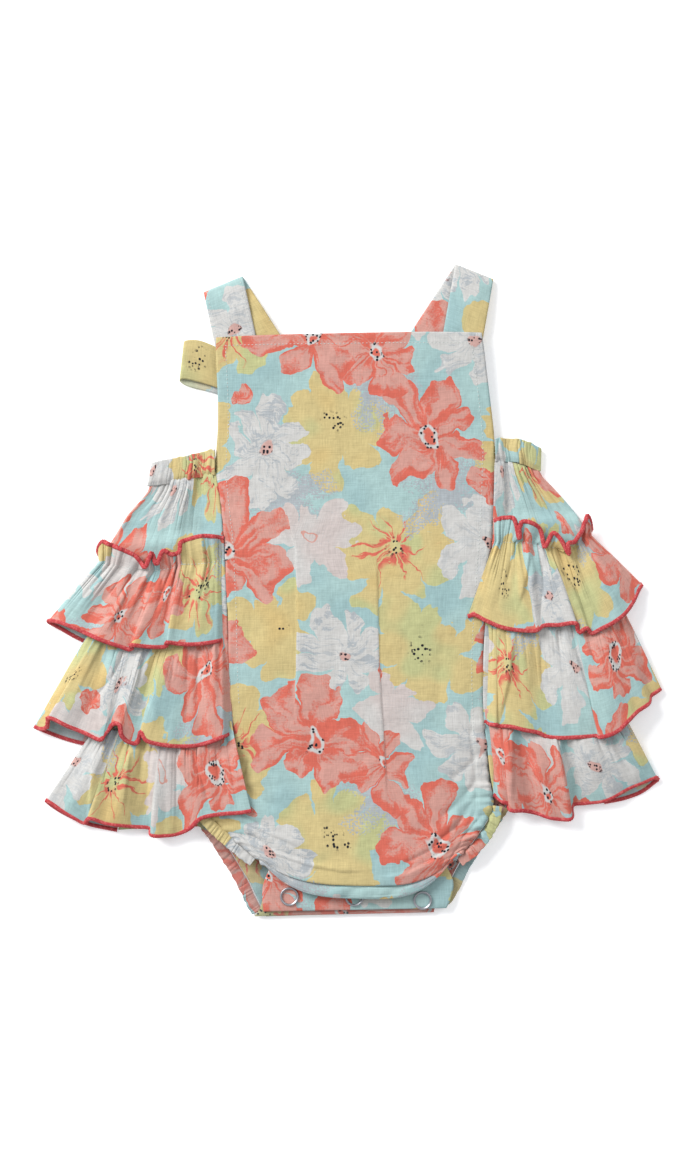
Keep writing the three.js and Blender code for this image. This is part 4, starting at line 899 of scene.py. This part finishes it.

# the ruffles at the sides
# folds, one row each: frill above the stitching x y z (tier 1 only), gathered line x y z, hem x y z.
# tucks: after which fold how much cloth is hidden. lines: creases, given one by one. sewn: the front end lies
# in the seam.
ruffles = {
    "1_left": dict(
        printStart=(112, 165), seed=71, sewn=True, tucks=[(4, 14), (7, 8)],
        folds=[
            (-72.6, 30.5, 8.6, -72.2, 18, 7.3, -70.6, -27.4, 9.8),
            (-78, 31.4, 9.6, -77, 17, 7.3, -79, -29.4, 10.8),
            (-85, 31.6, 10, -83, 16, 7.3, -90, -30.6, 11.6),
            (-92, 29.8, 9.6, -90, 15.5, 7.3, -98, -30.2, 12.4),
            (-97, 27.6, 8.8, -95.6, 15.5, 7.3, -104.2, -29.6, 12.8),
            (-98, 22.4, 9.6, -97.6, 15, 7.3, -105.4, -31.8, 10.4),
            (-102, 21.2, 9.4, -101, 13.5, 7.3, -114, -32, 11.4),
            (-107, 23, 10.6, -106, 12.4, 7.3, -124.2, -31.2, 12.6),
            (-110.6, 15.6, 10.4, -110, 12, 7.3, -125.6, -33.6, 10.4),
            (-113.6, 21.8, 10.8, -114, 12, 7.3, -132, -31.6, 10.8),
            (-117.4, 13.8, 10.8, -119, 12.2, 7.3, -141, -28.6, 11.4),
            (-122.6, 20, 9.4, -126, 13, 7.2, -150, -24.8, 10.4),
            (-130, 23.8, 8.8, -133, 14.4, 6.9, -158, -21.2, 8.6),
            (-138, 27, 8.6, -139, 15.8, 7.1, -166, -18.2, 6.6),
            (-142, 28.4, 7.2, -142.2, 16.8, 6.6, -171, -17.2, 4.8),
            (-144.8, 23.5, 4.4, -144.2, 17, 4.3, -173.6, -17.6, 2.8),
            (-142.4, 19, 2, -142.2, 16, 2, -168, -20.8, 0.8),
            (-136, 17, 2, -136, 14, 2, -154, -28.4, 0.5), (-126, 16, 2, -126, 13, 2, -140, -32, 0.5)],
        lines=[
            ([(-98, 22), (-97.5, 2), (-101, -10), (-104, -30)], 1.5, 9, -1),
            ([(-124, 8), (-133, -10), (-139, -24)], 1.6, 5, 1),
            ([(-84, 14), (-86, -8), (-88, -26)], 1.0, 5, 0),
            ([(-112, 10), (-117, -10), (-124, -30)], 1.4, 6, -1),
            ([(-91, 14), (-91.5, 2), (-93, -8)], -0.8, 1.5, 3),
            ([(-78, 14), (-77, 0), (-77, -12)], -0.8, 1.5, 3),
            ([(-129, 10), (-142, -6), (-152, -18)], -0.7, 2, 3),
            ([(-107, 12), (-108, 0), (-111, -12)], -0.9, 1.6, 3)]),
    "1_right": dict(
        printStart=(84, 112), seed=77, sewn=False, tucks=[(5, 9), (9, 10)],
        folds=[
            (83.8, 40.2, 8.6, 84.4, 29, 7.3, 68.6, -14.6, 9.4),
            (87, 41.6, 9.6, 86.5, 28.6, 7.4, 72.5, -13.6, 10.6),
            (91, 42.2, 10, 89.5, 28.2, 7.4, 79, -16.8, 11.2),
            (95.4, 41.4, 10.4, 92.6, 28, 7.4, 87, -20.3, 11.6),
            (98.2, 30.4, 10.6, 95.8, 28, 7.4, 96, -22.2, 11),
            (99.4, 39.6, 10.8, 98.2, 28, 7.4, 106.5, -22.8, 11.6),
            (104, 39.8, 10.8, 102, 27.8, 7.4, 108.8, -22.2, 11.8),
            (110, 36, 10, 106, 27.4, 7.4, 112.5, -19.8, 10.6),
            (113, 25.4, 10.6, 110.6, 27, 7.4, 121, -19.4, 11.4),
            (117.8, 33.4, 10.8, 114, 26, 7.4, 130.6, -18.6, 12.6),
            (122, 30, 11.2, 118, 25, 7.4, 132.8, -23.6, 10.6),
            (126.8, 21.4, 11.6, 121.6, 24.4, 7.4, 137, -21.4, 12),
            (126.6, 27.4, 11.8, 124.8, 24, 7.4, 140, -24.2, 10.8),
            (130.4, 28.6, 10, 128, 25, 7.3, 145.4, -21.6, 11.4),
            (133, 32.6, 10.2, 131.6, 27, 7.2, 153, -17.6, 10.6),
            (135.8, 38, 9.8, 134.8, 29.6, 7.1, 160, -12, 9.2),
            (137, 42, 8.8, 137.4, 31, 6.9, 164.4, -5.8, 7.4),
            (138.4, 43.2, 6.8, 139.2, 31.8, 6, 167.4, 0, 5.4),
            (140.4, 36.4, 4.4, 140.2, 32, 4.3, 169.4, 3.8, 3),
            (138.4, 34, 2.3, 138.2, 31, 2.2, 164, -2, 0.8), (131, 31, 2, 131, 28, 2, 154, -10, 0.5),
            (121, 30, 2, 121, 27, 2, 142, -16, 0.5)],
        lines=[
            ([(104, 25), (102, 8), (97, -10)], 1.5, 5, 1),
            ([(113, 20), (112, 0), (110, -20)], -1.2, 1.8, 3),
            ([(114, 20), (124, -2), (132, -20)], 1.6, 6, -1),
            ([(137, 22), (150, 5), (160, -8)], 1.2, 5, 0), ([(90, 22), (86, 6), (80, -8)], 1.1, 5, 0),
            ([(96, 24), (93, 12), (90, 2)], -0.9, 1.4, 3),
            ([(120, 18), (128, 6), (136, -6)], -0.9, 1.5, 3),
            ([(108, 22), (107, 10), (104, -2)], 0.9, 2.4, 0)]),
    "2_left": dict(
        printStart=(86, 232), seed=83, sewn=True, tucks=[(7, 13)],
        folds=[
            (-70.8, -20, 7.3, -67.2, -81.2, 10.6), (-74, -21, 7.3, -73, -84, 10.8),
            (-79, -21.5, 7.3, -81, -87.2, 10.8), (-84, -22, 7.3, -89, -89, 10.2),
            (-90, -22.5, 7.3, -99, -89.2, 10.6), (-96, -23, 7.3, -109, -88, 11.6),
            (-101, -23, 7.3, -116.5, -85.6, 12.4), (-104.5, -23, 7.4, -119.4, -81, 12.6),
            (-107, -23, 7.3, -121.8, -87.4, 10.2), (-110, -23.4, 7.3, -127, -86.6, 10.6),
            (-114, -23.6, 7.3, -130.8, -82.6, 11.6), (-118, -24, 7.3, -132, -76.6, 12.6),
            (-121, -24, 7.3, -135.6, -76.6, 12.4), (-125, -24.2, 7.3, -139.4, -81.4, 11),
            (-129, -24.4, 7.3, -142.4, -85.4, 10.2), (-133, -24.6, 7.3, -151, -82, 10.6),
            (-138, -24.6, 7.3, -161, -78, 10), (-143, -24.4, 7.2, -172.6, -73.2, 9.2),
            (-146.6, -24.2, 7, -174.6, -79, 5.6), (-148.8, -24, 6, -178, -79.6, 4.2),
            (-149.6, -24, 4.4, -181.6, -78.4, 2.6), (-147.2, -24.4, 2.2, -176, -81, 0.8),
            (-141, -25, 2, -163, -85.8, 0.5), (-131, -25, 2, -148, -89.6, 0.5)],
        lines=[
            ([(-106, -35), (-108.5, -48), (-111, -58), (-118, -80)], 1.6, 9, -1),
            ([(-128, -30), (-134, -46), (-141, -56), (-150, -66)], -1.5, 1.7, 3),
            ([(-93, -30), (-93, -60), (-94, -82)], -0.9, 1.5, 3),
            ([(-81, -30), (-81, -60), (-80, -84)], 1.0, 4, 0),
            ([(-87, -30), (-87, -50), (-87, -72)], -0.9, 1.4, 3),
            ([(-140, -40), (-150, -58), (-160, -74)], 1.2, 6, 0),
            ([(-118, -30), (-122, -50), (-130, -74)], 1.2, 4.5, 1),
            ([(-100, -30), (-101, -44), (-103, -58)], -0.8, 1.6, 3)]),
    "2_right": dict(
        printStart=(2, 55), seed=89, sewn=True, tucks=[(2, 8), (11, 13)],
        folds=[
            (79.8, -13, 7.3, 79, -75.2, 9.2), (82, -13, 7.3, 82, -76.6, 10.6),
            (84.6, -13, 7.3, 85, -77, 11.4), (86.2, -13, 7.3, 86.2, -77.6, 9.8),
            (91, -13, 7.3, 93, -77.8, 10.2), (97, -13.2, 7.3, 101, -79.8, 10.6),
            (103, -13.4, 7.3, 109, -81.4, 10), (109, -13.6, 7.3, 114, -83.6, 10.6),
            (115, -13.6, 7.3, 122, -84.4, 11), (121, -13.4, 7.3, 131, -84.1, 10.4),
            (125, -13, 7.3, 139, -83.6, 9.8), (128, -12.6, 7.3, 143.6, -83.2, 9.8),
            (129.6, -12.4, 7.4, 144.6, -83.8, 12.2), (133, -11.6, 7.3, 149, -83, 12.2),
            (138, -10.6, 7.3, 155, -80.2, 11.4), (143, -9.4, 7.3, 160.4, -75.2, 10.4),
            (147, -8.4, 7.2, 166, -69.6, 9.8), (150.6, -7.6, 7.2, 173.2, -64.6, 8.8),
            (154, -7, 7, 174.8, -60.6, 5.6), (156, -6.6, 6, 177.6, -58.6, 4),
            (156.9, -6.6, 4.4, 180.8, -56.4, 2.6), (154.6, -7.2, 2.2, 174, -60.4, 0.8),
            (149, -8.6, 2, 162, -66, 0.5), (139, -10, 2, 148, -72, 0.5)],
        lines=[
            ([(95, -26), (92, -50), (86, -76)], 1.4, 5, 1),
            ([(111, -22), (111, -44), (113, -64)], -1.1, 1.7, 3),
            ([(126, -27), (131, -40), (136, -55), (143.5, -83)], 1.6, 8, 1),
            ([(145, -22), (151, -50), (158, -72)], 1.3, 5, 0),
            ([(157, -18), (162, -30), (168, -42)], -1.0, 1.8, 3),
            ([(124, -24), (126, -50), (128, -74)], 0.9, 4, 0),
            ([(103, -24), (103, -40), (104, -58)], 1.0, 3.4, 0),
            ([(88, -22), (87, -36), (85, -50)], -0.9, 1.5, 3),
            ([(137, -22), (140, -34), (143, -46)], -0.9, 1.5, 3)]),
    "3_left": dict(
        printStart=(112, 55), seed=97, sewn=False, tucks=[(8, 12), (13, 8)],
        folds=[
            (-67.8, -75, 8.5, -56, -126.4, 9.8), (-72, -76, 8, -63, -127.6, 10),
            (-77, -77, 7.4, -71, -128.2, 9.8), (-82, -78, 7.3, -79, -129.2, 9.2),
            (-87, -78.6, 7.3, -85.4, -131, 8.4), (-92, -79, 7.3, -91, -136.4, 6.8),
            (-97, -79, 7.3, -97.6, -139.8, 5), (-102, -79.2, 7.3, -105, -141, 5.4),
            (-106.6, -79.4, 7.3, -113.6, -140.6, 6), (-108.4, -79.4, 7.3, -114.8, -137.2, 3.8),
            (-114, -79.6, 7.3, -123, -136.2, 4.4), (-120, -79.8, 7.3, -132, -135, 5.4),
            (-125.4, -80, 7.3, -141, -133.8, 5), (-130.6, -80, 7.3, -149.4, -131.2, 6.4),
            (-133.4, -80, 7.3, -152.6, -134, 3.8), (-138, -80, 7.2, -159.6, -130.4, 3.9),
            (-142, -80, 7.1, -167, -125.8, 3.7), (-145, -80, 6.6, -172.4, -122.2, 3.3),
            (-147, -80.4, 4.4, -174.9, -121.2, 2.1), (-145, -81, 2.2, -172.4, -123.6, 0.8),
            (-142.6, -81.6, 2, -166, -127.8, 0.5), (-138, -82, 2, -152, -134.4, 0.5),
            (-128, -83, 2, -134, -138.4, 0.5)],
        lines=[
            ([(-146, -90), (-148, -112), (-150, -131)], 1.4, 5, -1),
            ([(-126, -90), (-128, -110), (-131, -128)], 1.2, 4, 1),
            ([(-102, -90), (-102, -112), (-101, -134)], 1.1, 4, 0),
            ([(-92, -88), (-84, -110), (-79, -126)], -1.3, 1.9, 3),
            ([(-112, -88), (-114, -114), (-114, -138)], 1.5, 6, -1),
            ([(-137, -88), (-139, -100), (-142, -114)], -1.0, 1.6, 3),
            ([(-118, -88), (-119, -100), (-121, -112)], -0.9, 1.5, 3),
            ([(-96, -88), (-95, -100), (-93, -112)], 0.9, 2.6, 0)]),
    "3_right": dict(
        printStart=(170, 175), seed=101, sewn=True, tucks=[(2, 8), (8, 13)],
        folds=[
            (79.2, -68, 7.3, 84.4, -117.6, 8.2), (83, -68.4, 7.3, 88.6, -121.2, 8.6),
            (87, -69, 7.3, 92.6, -122.8, 7.4), (88.8, -69, 7.4, 93.6, -126, 8.8),
            (94, -69.4, 7.3, 101, -126.6, 7.8), (100, -70.4, 7.3, 109, -128.4, 6.2),
            (106, -71.6, 7.3, 116, -130.6, 5.6), (112, -73, 7.3, 123, -131.6, 5.6),
            (117, -74, 7.4, 128.4, -131, 6), (118.8, -74.2, 7.3, 129.4, -124, 3.6),
            (124, -74.8, 7.3, 137, -122.6, 3.8), (130, -75, 7.3, 147, -121.2, 4.4),
            (137, -75, 7.2, 153, -118.6, 5), (144, -73.6, 7.2, 162, -113.8, 4.6),
            (150, -71.4, 7.1, 171, -110.2, 4), (154.6, -69.4, 6.9, 175, -108.6, 3.8),
            (156.8, -68.8, 5.8, 177.8, -108, 3.5), (157.4, -68.4, 4.4, 178.9, -109, 2.2),
            (156.6, -68.6, 2.8, 177.4, -110.4, 0.9), (153, -69.4, 2, 170, -116, 0.5),
            (150, -70, 2, 161, -119.6, 0.5), (140, -72, 2, 148, -122.4, 0.5)],
        lines=[
            ([(119, -80), (128, -108), (128, -128)], 1.4, 6, 1),
            ([(94, -78), (94, -104), (93.5, -122)], 1.2, 5, 1),
            ([(144, -80), (158, -96), (174, -107)], -1.4, 2, 3),
            ([(108, -78), (110, -106), (112, -126)], 1.2, 4, 0),
            ([(134, -80), (140, -96), (146, -112)], 1.1, 4, 0),
            ([(101, -78), (102, -90), (104, -102)], -0.9, 1.5, 3),
            ([(126, -80), (129, -92), (131, -104)], -0.9, 1.5, 3)]),
}
levels, frillRows, columnsAFold = 48, 12, 12  # rows from the gathers to the hem and up to the frill
frillHeight, tierHeight = 13, 46  # of tier 1, in mm of flat cloth
gatherLow, seamLevel = 2.4, 6.7

def ruffleSurface(s):
    # the smooth cloth, and each row's height below the gathers
    gather, hem = s[:, -6:-3], s[:, -3:]
    v = np.linspace(0, 1, levels)[:, None]
    points = blend(gather[None], hem[None], v[..., None])
    front = np.clip((gather[:, 2] - gatherLow) / 2, 0, 1)[None, :]
    fall = (1 - v) ** 1.4 * (1 - front) + (1 - v**2) * front
    bulge = 0.3 * np.maximum(gather[None, :, 2] - gatherLow, 0) * np.sin(np.pi * v)
    points[..., 2] = hem[None, :, 2] + (gather[None, :, 2] - hem[None, :, 2]) * fall + front * bulge
    if s.shape[1] < 9:
        return points, v * np.linalg.norm(hem - gather, axis=1).mean()
    w = np.linspace(1, 0, frillRows + 1)[:-1, None]
    frill = blend(gather[None], s[None, :, :3], w[..., None])
    return np.concatenate([frill, points]), np.concatenate([-w * frillHeight, v * tierHeight])

def ruffleWaves(run, height, seed):
    # puckers that die out away from the stitching, and soft waves down to the hem
    away = np.abs(height)
    drift = 0.05 * height * wander(run, 20, seed + 5)
    tight = 0.6 + 0.5 * wander(run, 17, seed + 12)
    fineReach, midReach = 10 + 5 * wander(run, 8, seed + 9), 19 + 12 * wander(run, 13, seed + 8)
    sharpReach = 30 + 16 * wander(run, 9, seed + 6)
    fine = 1.2 * tight * wander(run + drift, 2.4, seed) * np.exp(-away / fineReach)
    mid = 1.7 * wander(run + drift, 4.9, seed + 1) * np.exp(-((away / midReach) ** 1.4))
    sharp = (1.5 * tight * np.exp(-np.abs(wander(run + drift, 4.0, seed + 7)) * 11)
             * np.exp(-((away / sharpReach) ** 2)))
    soft = 1.9 * wander(run + 2 * drift, 15, seed + 2) * smooth(away, 2, 22)
    hemWave = 0.6 * wander(run, 7.5, seed + 3) * smooth(height, height.max() * 0.55, height.max())
    curls = 0.9 * wander(run, 6, seed + 4) * smooth(-height, 0, 9)  # in the frill
    return fine + mid - sharp + soft + hemWave + curls

def ruffle(part):
    plan = ruffles[part]
    columns = columnsAFold * (len(plan["folds"]) - 1) + 1
    s = spread(plan["folds"], columns)
    gather, hem = s[:, -6:-3], s[:, -3:]
    points, height = ruffleSurface(s)
    pinch = np.maximum(np.linalg.norm(np.diff(gather, axis=0, append=gather[-1:]), axis=1), 0.05)
    hemStep = np.linalg.norm(np.diff(hem, axis=0, prepend=hem[:1]), axis=1)
    run = np.cumsum(np.maximum(hemStep, pinch))[None, :] * 1.18 + 0 * height
    onFrontSide = smooth(points[..., 2], 3.4, 6.2)
    lift = creases(points, plan["lines"]) * smooth(height, 0, 6)
    wave = np.maximum(ruffleWaves(run, height, plan["seed"]) + lift, -1.5) * onFrontSide
    normal = facingUp(points)
    if plan["sewn"]:  # the end at the front panel lies down into the seam
        begun = run - run[0, 0]
        risen = seamLevel + (points[..., 2] - seamLevel) * smooth(begun, 0, 7)
        points[..., 2] = np.minimum(points[..., 2], risen)
        wave = wave * smooth(begun, -1, 3)
        points[:, 0, 0] -= np.sign(points[0, 0, 0]) * 0.7
    steep = np.clip(normal[..., 2:], 0.35, 1)
    points = points + np.concatenate([normal[..., :2] * 0.35, steep], -1) * wave[..., None]
    hidden = sum(mm * smooth(np.arange(columns), columnsAFold * k + 3, columnsAFold * k + 9)
                 for k, mm in plan["tucks"])
    x, y = plan["printStart"]
    cloth(f"ruffle_{part}", points, paired(run + hidden + x, y - height))
    return points

ruffleRows = {part: ruffle(part) for part in ruffles}
print("ruffles")

# the ruffles across the back, pressed flat between the ends of those at the sides
def backRuffle(tier):
    left, right = (np.array(ruffles[f"{tier}_{side}"]["folds"][-1][-6:], float) for side in ("left", "right"))
    v = np.linspace(0, 1, 20)[:, None]
    t = np.linspace(0, 1, 120)[None, :]
    a, b = (blend(end[None, :3], end[None, 3:], v) for end in (left, right))
    x = blend(a[:, :1] + 0.6, b[:, :1] - 0.6, t)
    y = blend(a[:, 1:2], b[:, 1:2], t) - 3 * v * np.sin(np.pi * t) ** 2
    z = wall + 1.5 * (1 - v) ** 1.4 + 0.16 * wander(t * 250, 3, 110 + tier) * np.exp(-v * 5)
    cut = paired(t * 330 + 40 * tier, 70 * tier - 60 * v)
    cloth(f"ruffle_{tier}_back", np.stack([x, y, z], -1), cut)

for tier in (1, 2, 3):
    backRuffle(tier)

# the shoulder straps. a, b: ends of the fold at the shoulder. front, back: the ways the two legs run, and
# their runs: how far along and how high
straps = {
    "left": dict(a=(-83.8, 172.8), b=(-61.2, 182.1), front=(0.215, -0.977), back=(0.54, -0.842),
                 frontRun=[(36, 4.8), (28, 4.7), (14, 4), (1, 2.5)],
                 backRun=[(1, 0.6), (8, 1.2), (22, 3.1), (50, 3.2), (66, 3.4), (98, 3.4), (122, 2.7)],
                 printStart=(62, 154), seed=121),
    "right": dict(a=(83.8, 180.4), b=(61.8, 189.1), front=(-0.175, -0.985), back=(-0.546, -0.838),
                  frontRun=[(42, 5), (30, 5), (14, 4.2), (1, 2.5)],
                  backRun=[(1, 0.6), (8, 1.1), (24, 3.1), (40, 3.4), (72, 3.4), (90, 3.8), (104, 4.7),
                           (130, 4.3)],
                  printStart=(176, 250), seed=125),
}
strapWidth, foldHeight = 24.4, 1.55

def strap(side):
    plan = straps[side]
    a, b, front, back = (np.array(plan[k]) for k in ("a", "b", "front", "back"))
    places = ([(front, t, z, -t) for t, z in plan["frontRun"]] + [(front, 0, foldHeight, 0)]
              + [(back, t, z, t) for t, z in plan["backRun"]])
    s = spread([(*(a + way * t), z, *(b + way * t), z, fromFold) for way, t, z, fromFold in places], 150)
    w = np.linspace(0, 1, 26)[None, :, None]
    flat = blend(s[:, None, :3], s[:, None, 3:6], w)
    run, across = along(flat[:, 13])[:, None], w[..., 0]
    far = smooth(np.abs(s[:, 6:7]), 1.5, 7)
    rumple = crumple(run + 8 * across, across * 24, 8, plan["seed"]) * np.sin(np.pi * across) ** 0.5
    flat[..., 2] += far * 0.4 * (rumple + 0.25)
    flat[..., 2] += far * 0.3 * np.sin(np.pi * across) * (1 + 0.5 * wander(run, 9, plan["seed"] + 1))
    # the tube, pressed flat: over its upper face and back along the lower one
    half = normals(flat) * (0.38 * (1 - (2 * across - 1) ** 8) * (0.6 + 0.4 * far))[..., None]
    points = np.concatenate([flat + half, (flat - half)[:, ::-1]], 1)
    around = np.concatenate([across, 2 - across[:, ::-1]], 1)
    x, y = plan["printStart"]
    cloth(f"strap_{side}", points, paired(strapWidth * around + x, y - run), thick=0.34, asDrawn=True)
    return points

strapPoints = {side: strap(side) for side in straps}

# the bow at the back. loop: top edge x y, bottom edge x y, height, from the knot out and back under
bow = dict(
    loop=[
        (-9.4, 97, -9.4, 88, 1.8), (-30, 112, -26, 93, 1.8), (-55, 130, -50, 107, 1.8),
        (-77, 141.5, -77, 118, 1.9), (-86, 145, -87, 121, 2.3), (-91.6, 145.4, -94, 122.6, 2.6),
        (-94.6, 144.8, -97.2, 122.4, 2.3), (-95.2, 144, -97.6, 121.6, 1.5),
        (-93.8, 142.6, -96, 120, 0.7), (-88, 141, -91, 118, 0.5), (-77, 137, -77, 114.4, 0.5),
        (-55, 126, -50, 104, 0.5), (-30, 109, -26, 91, 0.5), (-9.4, 96, -9.4, 87, 0.5)],
    rightLoop=0.72,  # the right loop's length as a share of the left one's
    knotMiddle=(-1, 92, 1.2), knotSize=(7.6, 7.6, 1.0),
)

def bowLoop(side):
    s = spread(bow["loop"], 120)
    v = np.linspace(0, 1, 24)[:, None]
    points = blend(s[None][..., [0, 1, 4]], s[None][..., [2, 3, 4]], v[..., None])
    run = along(points[12])[None, :]
    onTop = smooth(points[..., 2], 1.2, 1.9)
    points[..., 2] += onTop * (0.35 * wander(v * 26 + run * 0.1, 5, 131) + 0.3 * np.sin(np.pi * v))
    if side == "right":
        root = bow["loop"][0][0]
        points[..., 0] = -2 - (root + (points[..., 0] - root) * bow["rightLoop"])
    cloth(f"bow_loop_{side}", points, paired(run + 20, 100 - 24 * v))

def bowKnot():
    u, v = np.meshgrid(np.linspace(0, 1, 24), np.linspace(0, 1, 40), indexing="ij")
    lat, lon = (u * 0.98 + 0.01) * np.pi, v * 2 * np.pi
    ball = np.stack([np.sin(lat) * np.cos(lon), np.sin(lat) * np.sin(lon), np.cos(lat)], -1)
    points = ball * bow["knotSize"] + bow["knotMiddle"]
    cloth("bow_knot", points, points[..., :2] + (60, 0), thick=0.3)

bowLoop("left")
bowLoop("right")
bowKnot()
print("straps and bow")

# open ring snaps: a rounded rim with a thin inner lip
rings = dict(
    height=3.7 + 0.65 + 0.3 + 0.45,  # the band's middle, half its thickness, a gap and half the ring's wire
    # distance from the middle, height
    profile=[(4.1, -0.1), (4.25, 0.16), (4.5, 0.2), (4.62, 0.42), (4.95, 0.55), (5.28, 0.42), (5.42, 0.0),
             (5.28, -0.36), (4.95, -0.45), (4.5, -0.42), (4.2, -0.34)],
    around=72,
    places=[(-34.2, -176.6, 0.4, 0.0), (3.4, -176.8, 1.6, 0.0), (42.8, -178.8, 1.2, 0.06)],  # x, y, way, tilt
)

def snapRing(number, x, y, way, tilt):
    a = np.linspace(0, 2 * math.pi, rings["around"], endpoint=False)[:, None]
    r, h = np.array(rings["profile"]).T
    px, py = r * np.cos(a), r * np.sin(a)
    lean = tilt * (px * math.cos(way) + py * math.sin(way))
    points = np.stack([x + px, y + py, rings["height"] + h + lean], -1)
    k = np.arange(points[..., 0].size).reshape(points.shape[:2])
    nextUp, nextRound = np.roll(k, -1, axis=1), np.roll(k, -1, axis=0)
    faces = np.stack([k, nextUp, np.roll(nextUp, -1, axis=0), nextRound], -1).reshape(-1, 4).tolist()
    node = f"snap_ring_{number}"
    place(node + ".metal", plainMesh(node + ".metal", points, faces), [steel], "ring_steel", [node])

for number, spot in enumerate(rings["places"], 1):
    snapRing(number, *spot)

# coral overlocked edges: swept ovals, swelling with each turn of the thread
overlock = dict(halfWidth=1.3, halfHeight=0.55, turns=0.95, swell=0.17, spacing=0.38, sides=8)

def overlockEdge(name, line):
    path = evenly(line, overlock["spacing"])
    way = np.gradient(path, axis=0)
    way /= np.maximum(np.linalg.norm(way, axis=1, keepdims=True), 1e-9)
    side = np.cross(way, [0, 0, 1.0])
    side /= np.maximum(np.linalg.norm(side, axis=1, keepdims=True), 1e-9)
    up = np.cross(side, way)
    sides = overlock["sides"]
    angle = np.linspace(0, 2 * math.pi, sides, endpoint=False)
    turn = 2 * math.pi * along(path)[:, None] / overlock["turns"]
    swell = 1 + overlock["swell"] * np.sin(turn + 1.4 * np.cos(angle))
    points = (path[:, None] + side[:, None] * (np.cos(angle) * swell * overlock["halfWidth"])[..., None]
              + up[:, None] * (np.sin(angle) * swell * overlock["halfHeight"])[..., None])
    points[..., 2] = np.maximum(points[..., 2], onFloor)
    k = np.arange(len(path) * sides).reshape(-1, sides)
    after = np.roll(k, -1, axis=1)
    faces = np.stack([k[:-1], after[:-1], after[1:], k[1:]], -1).reshape(-1, 4).tolist()
    faces += [k[0, ::-1].tolist(), k[-1].tolist()]
    return place(name, plainMesh(name, points, faces), [threadRed], "coral_thread")

edges = {}
for part, points in ruffleRows.items():
    edges[part] = [overlockEdge(f"edge_{part}_hem", points[-1])]
    if part[0] == "1":
        edges[part].append(overlockEdge(f"edge_{part}_frill", points[0]))

# rows of stitches: small rounded dashes, each swept through five rings of six points
stitch = dict(long=1.4, gap=0.9, thick=0.15, step=0.1,
              rings=[(0, 0.25), (0.18, 1), (0.5, 1.15), (0.82, 1), (1, 0.25)])  # place along it, thickness

def stitches(name, paths):
    coords, faces = [], []
    long = int(stitch["long"] / stitch["step"])
    every = int((stitch["long"] + stitch["gap"]) / stitch["step"])
    turn = np.linspace(0, 2 * math.pi, 6, endpoint=False)
    last = 6 * (len(stitch["rings"]) - 1)
    for path in paths:
        p = evenly(path, stitch["step"])
        for start in range(0, len(p) - long, every):
            piece = p[start:start + long + 1]
            way = piece[-1] - piece[0]
            side = np.cross(way / np.linalg.norm(way), [0, 0, 1.0])
            side /= max(np.linalg.norm(side), 1e-9)
            base = len(coords)
            for share, fat in stitch["rings"]:
                centre = piece[int(share * (len(piece) - 1))] + [0, 0, (fat - 1) * 0.2]
                for a in turn:
                    out = side * math.cos(a) + np.array([0, 0, 0.7]) * math.sin(a)
                    coords.append(centre + stitch["thick"] * fat * out)
            for k in range(base, base + last, 6):
                faces += [[k + s, k + (s + 1) % 6, k + 6 + (s + 1) % 6, k + 6 + s] for s in range(6)]
            faces += [[base + s for s in range(5, -1, -1)], [base + last + s for s in range(6)]]
    return place(name, plainMesh(name, coords, faces), [threadPale], "printed_cotton")

def alongFront(rows, columns, count=900):
    k, ends = np.linspace(0, 1, count), [0, 1]
    return onFront(np.interp(k, ends, rows), np.interp(k, ends, columns))

stitchedFolds = 14  # of tier 1, counted from its front end
bibStitches = stitches("stitches_bib", [
    alongFront([0.6, 0.6], [5, 144], 400), alongFront([0.74, 12.4], [5.6, 5.6]),
    alongFront([0.74, 13.5], [143.4, 143.4])])
for part in ("1_left", "1_right"):
    gathered = ruffleRows[part][frillRows, :columnsAFold * stitchedFolds] + [0, 0, 0.4]
    edges[part].append(stitches(f"stitches_{part}", [gathered]))
strapStitches = {side: stitches(f"stitches_strap_{side}", [points[3:52, k] + [0, 0, 0.2] for k in (2, 23)])
                 for side, points in strapPoints.items()}
print("edges and stitches")
# the floor, lights and camera
room = dict(
    floorSize=6, floorGlow=0.22, glowColour=(0.95, 0.96, 1.0, 1), sky=(0.97, 0.98, 1, 1), skyStrength=0.56,
    lights={"key": dict(place=(-2.6, 2.1, 2.0), power=178, size=1.8),
            "fill": dict(place=(2.6, 1.6, 2.8), power=30, size=2.4)},
    lens=79.8, cameraPlace=(0.0013, 0.00382, 1.5),
)

def floorMaterial():
    material = plainMaterial("floor", (1.0, 1.0, 1.0, 1), 1.0)
    shader = material.node_tree.nodes["Principled BSDF"]
    shader.inputs["Specular IOR Level"].default_value = 0.0
    shader.inputs["Emission Color"].default_value = room["glowColour"]
    shader.inputs["Emission Strength"].default_value = room["floorGlow"]
    return material

bpy.ops.mesh.primitive_plane_add(size=room["floorSize"], location=(0, 0, -0.0002))
floor = bpy.context.object
floor.name = "floor"
floor.data.materials.append(floorMaterial())

for name, plan in room["lights"].items():
    data = bpy.data.lights.new(name, "AREA")
    data.energy, data.size = plan["power"], plan["size"]
    lamp = bpy.data.objects.new(name, data)
    scene.collection.objects.link(lamp)
    lamp.location = plan["place"]
    lamp.rotation_euler = (-lamp.location).to_track_quat("-Z", "Y").to_euler()

world = bpy.data.worlds.new("room")
scene.world = world
world.use_nodes = True
sky = world.node_tree.nodes["Background"].inputs
sky["Color"].default_value = room["sky"]
sky["Strength"].default_value = room["skyStrength"]

cameraData = bpy.data.cameras.new("camera")
cameraData.lens, cameraData.sensor_width = room["lens"], 36
camera = bpy.data.objects.new("camera", cameraData)
scene.collection.objects.link(camera)
camera.location = room["cameraPlace"]  # looking straight down
scene.camera = camera
print("room ready")
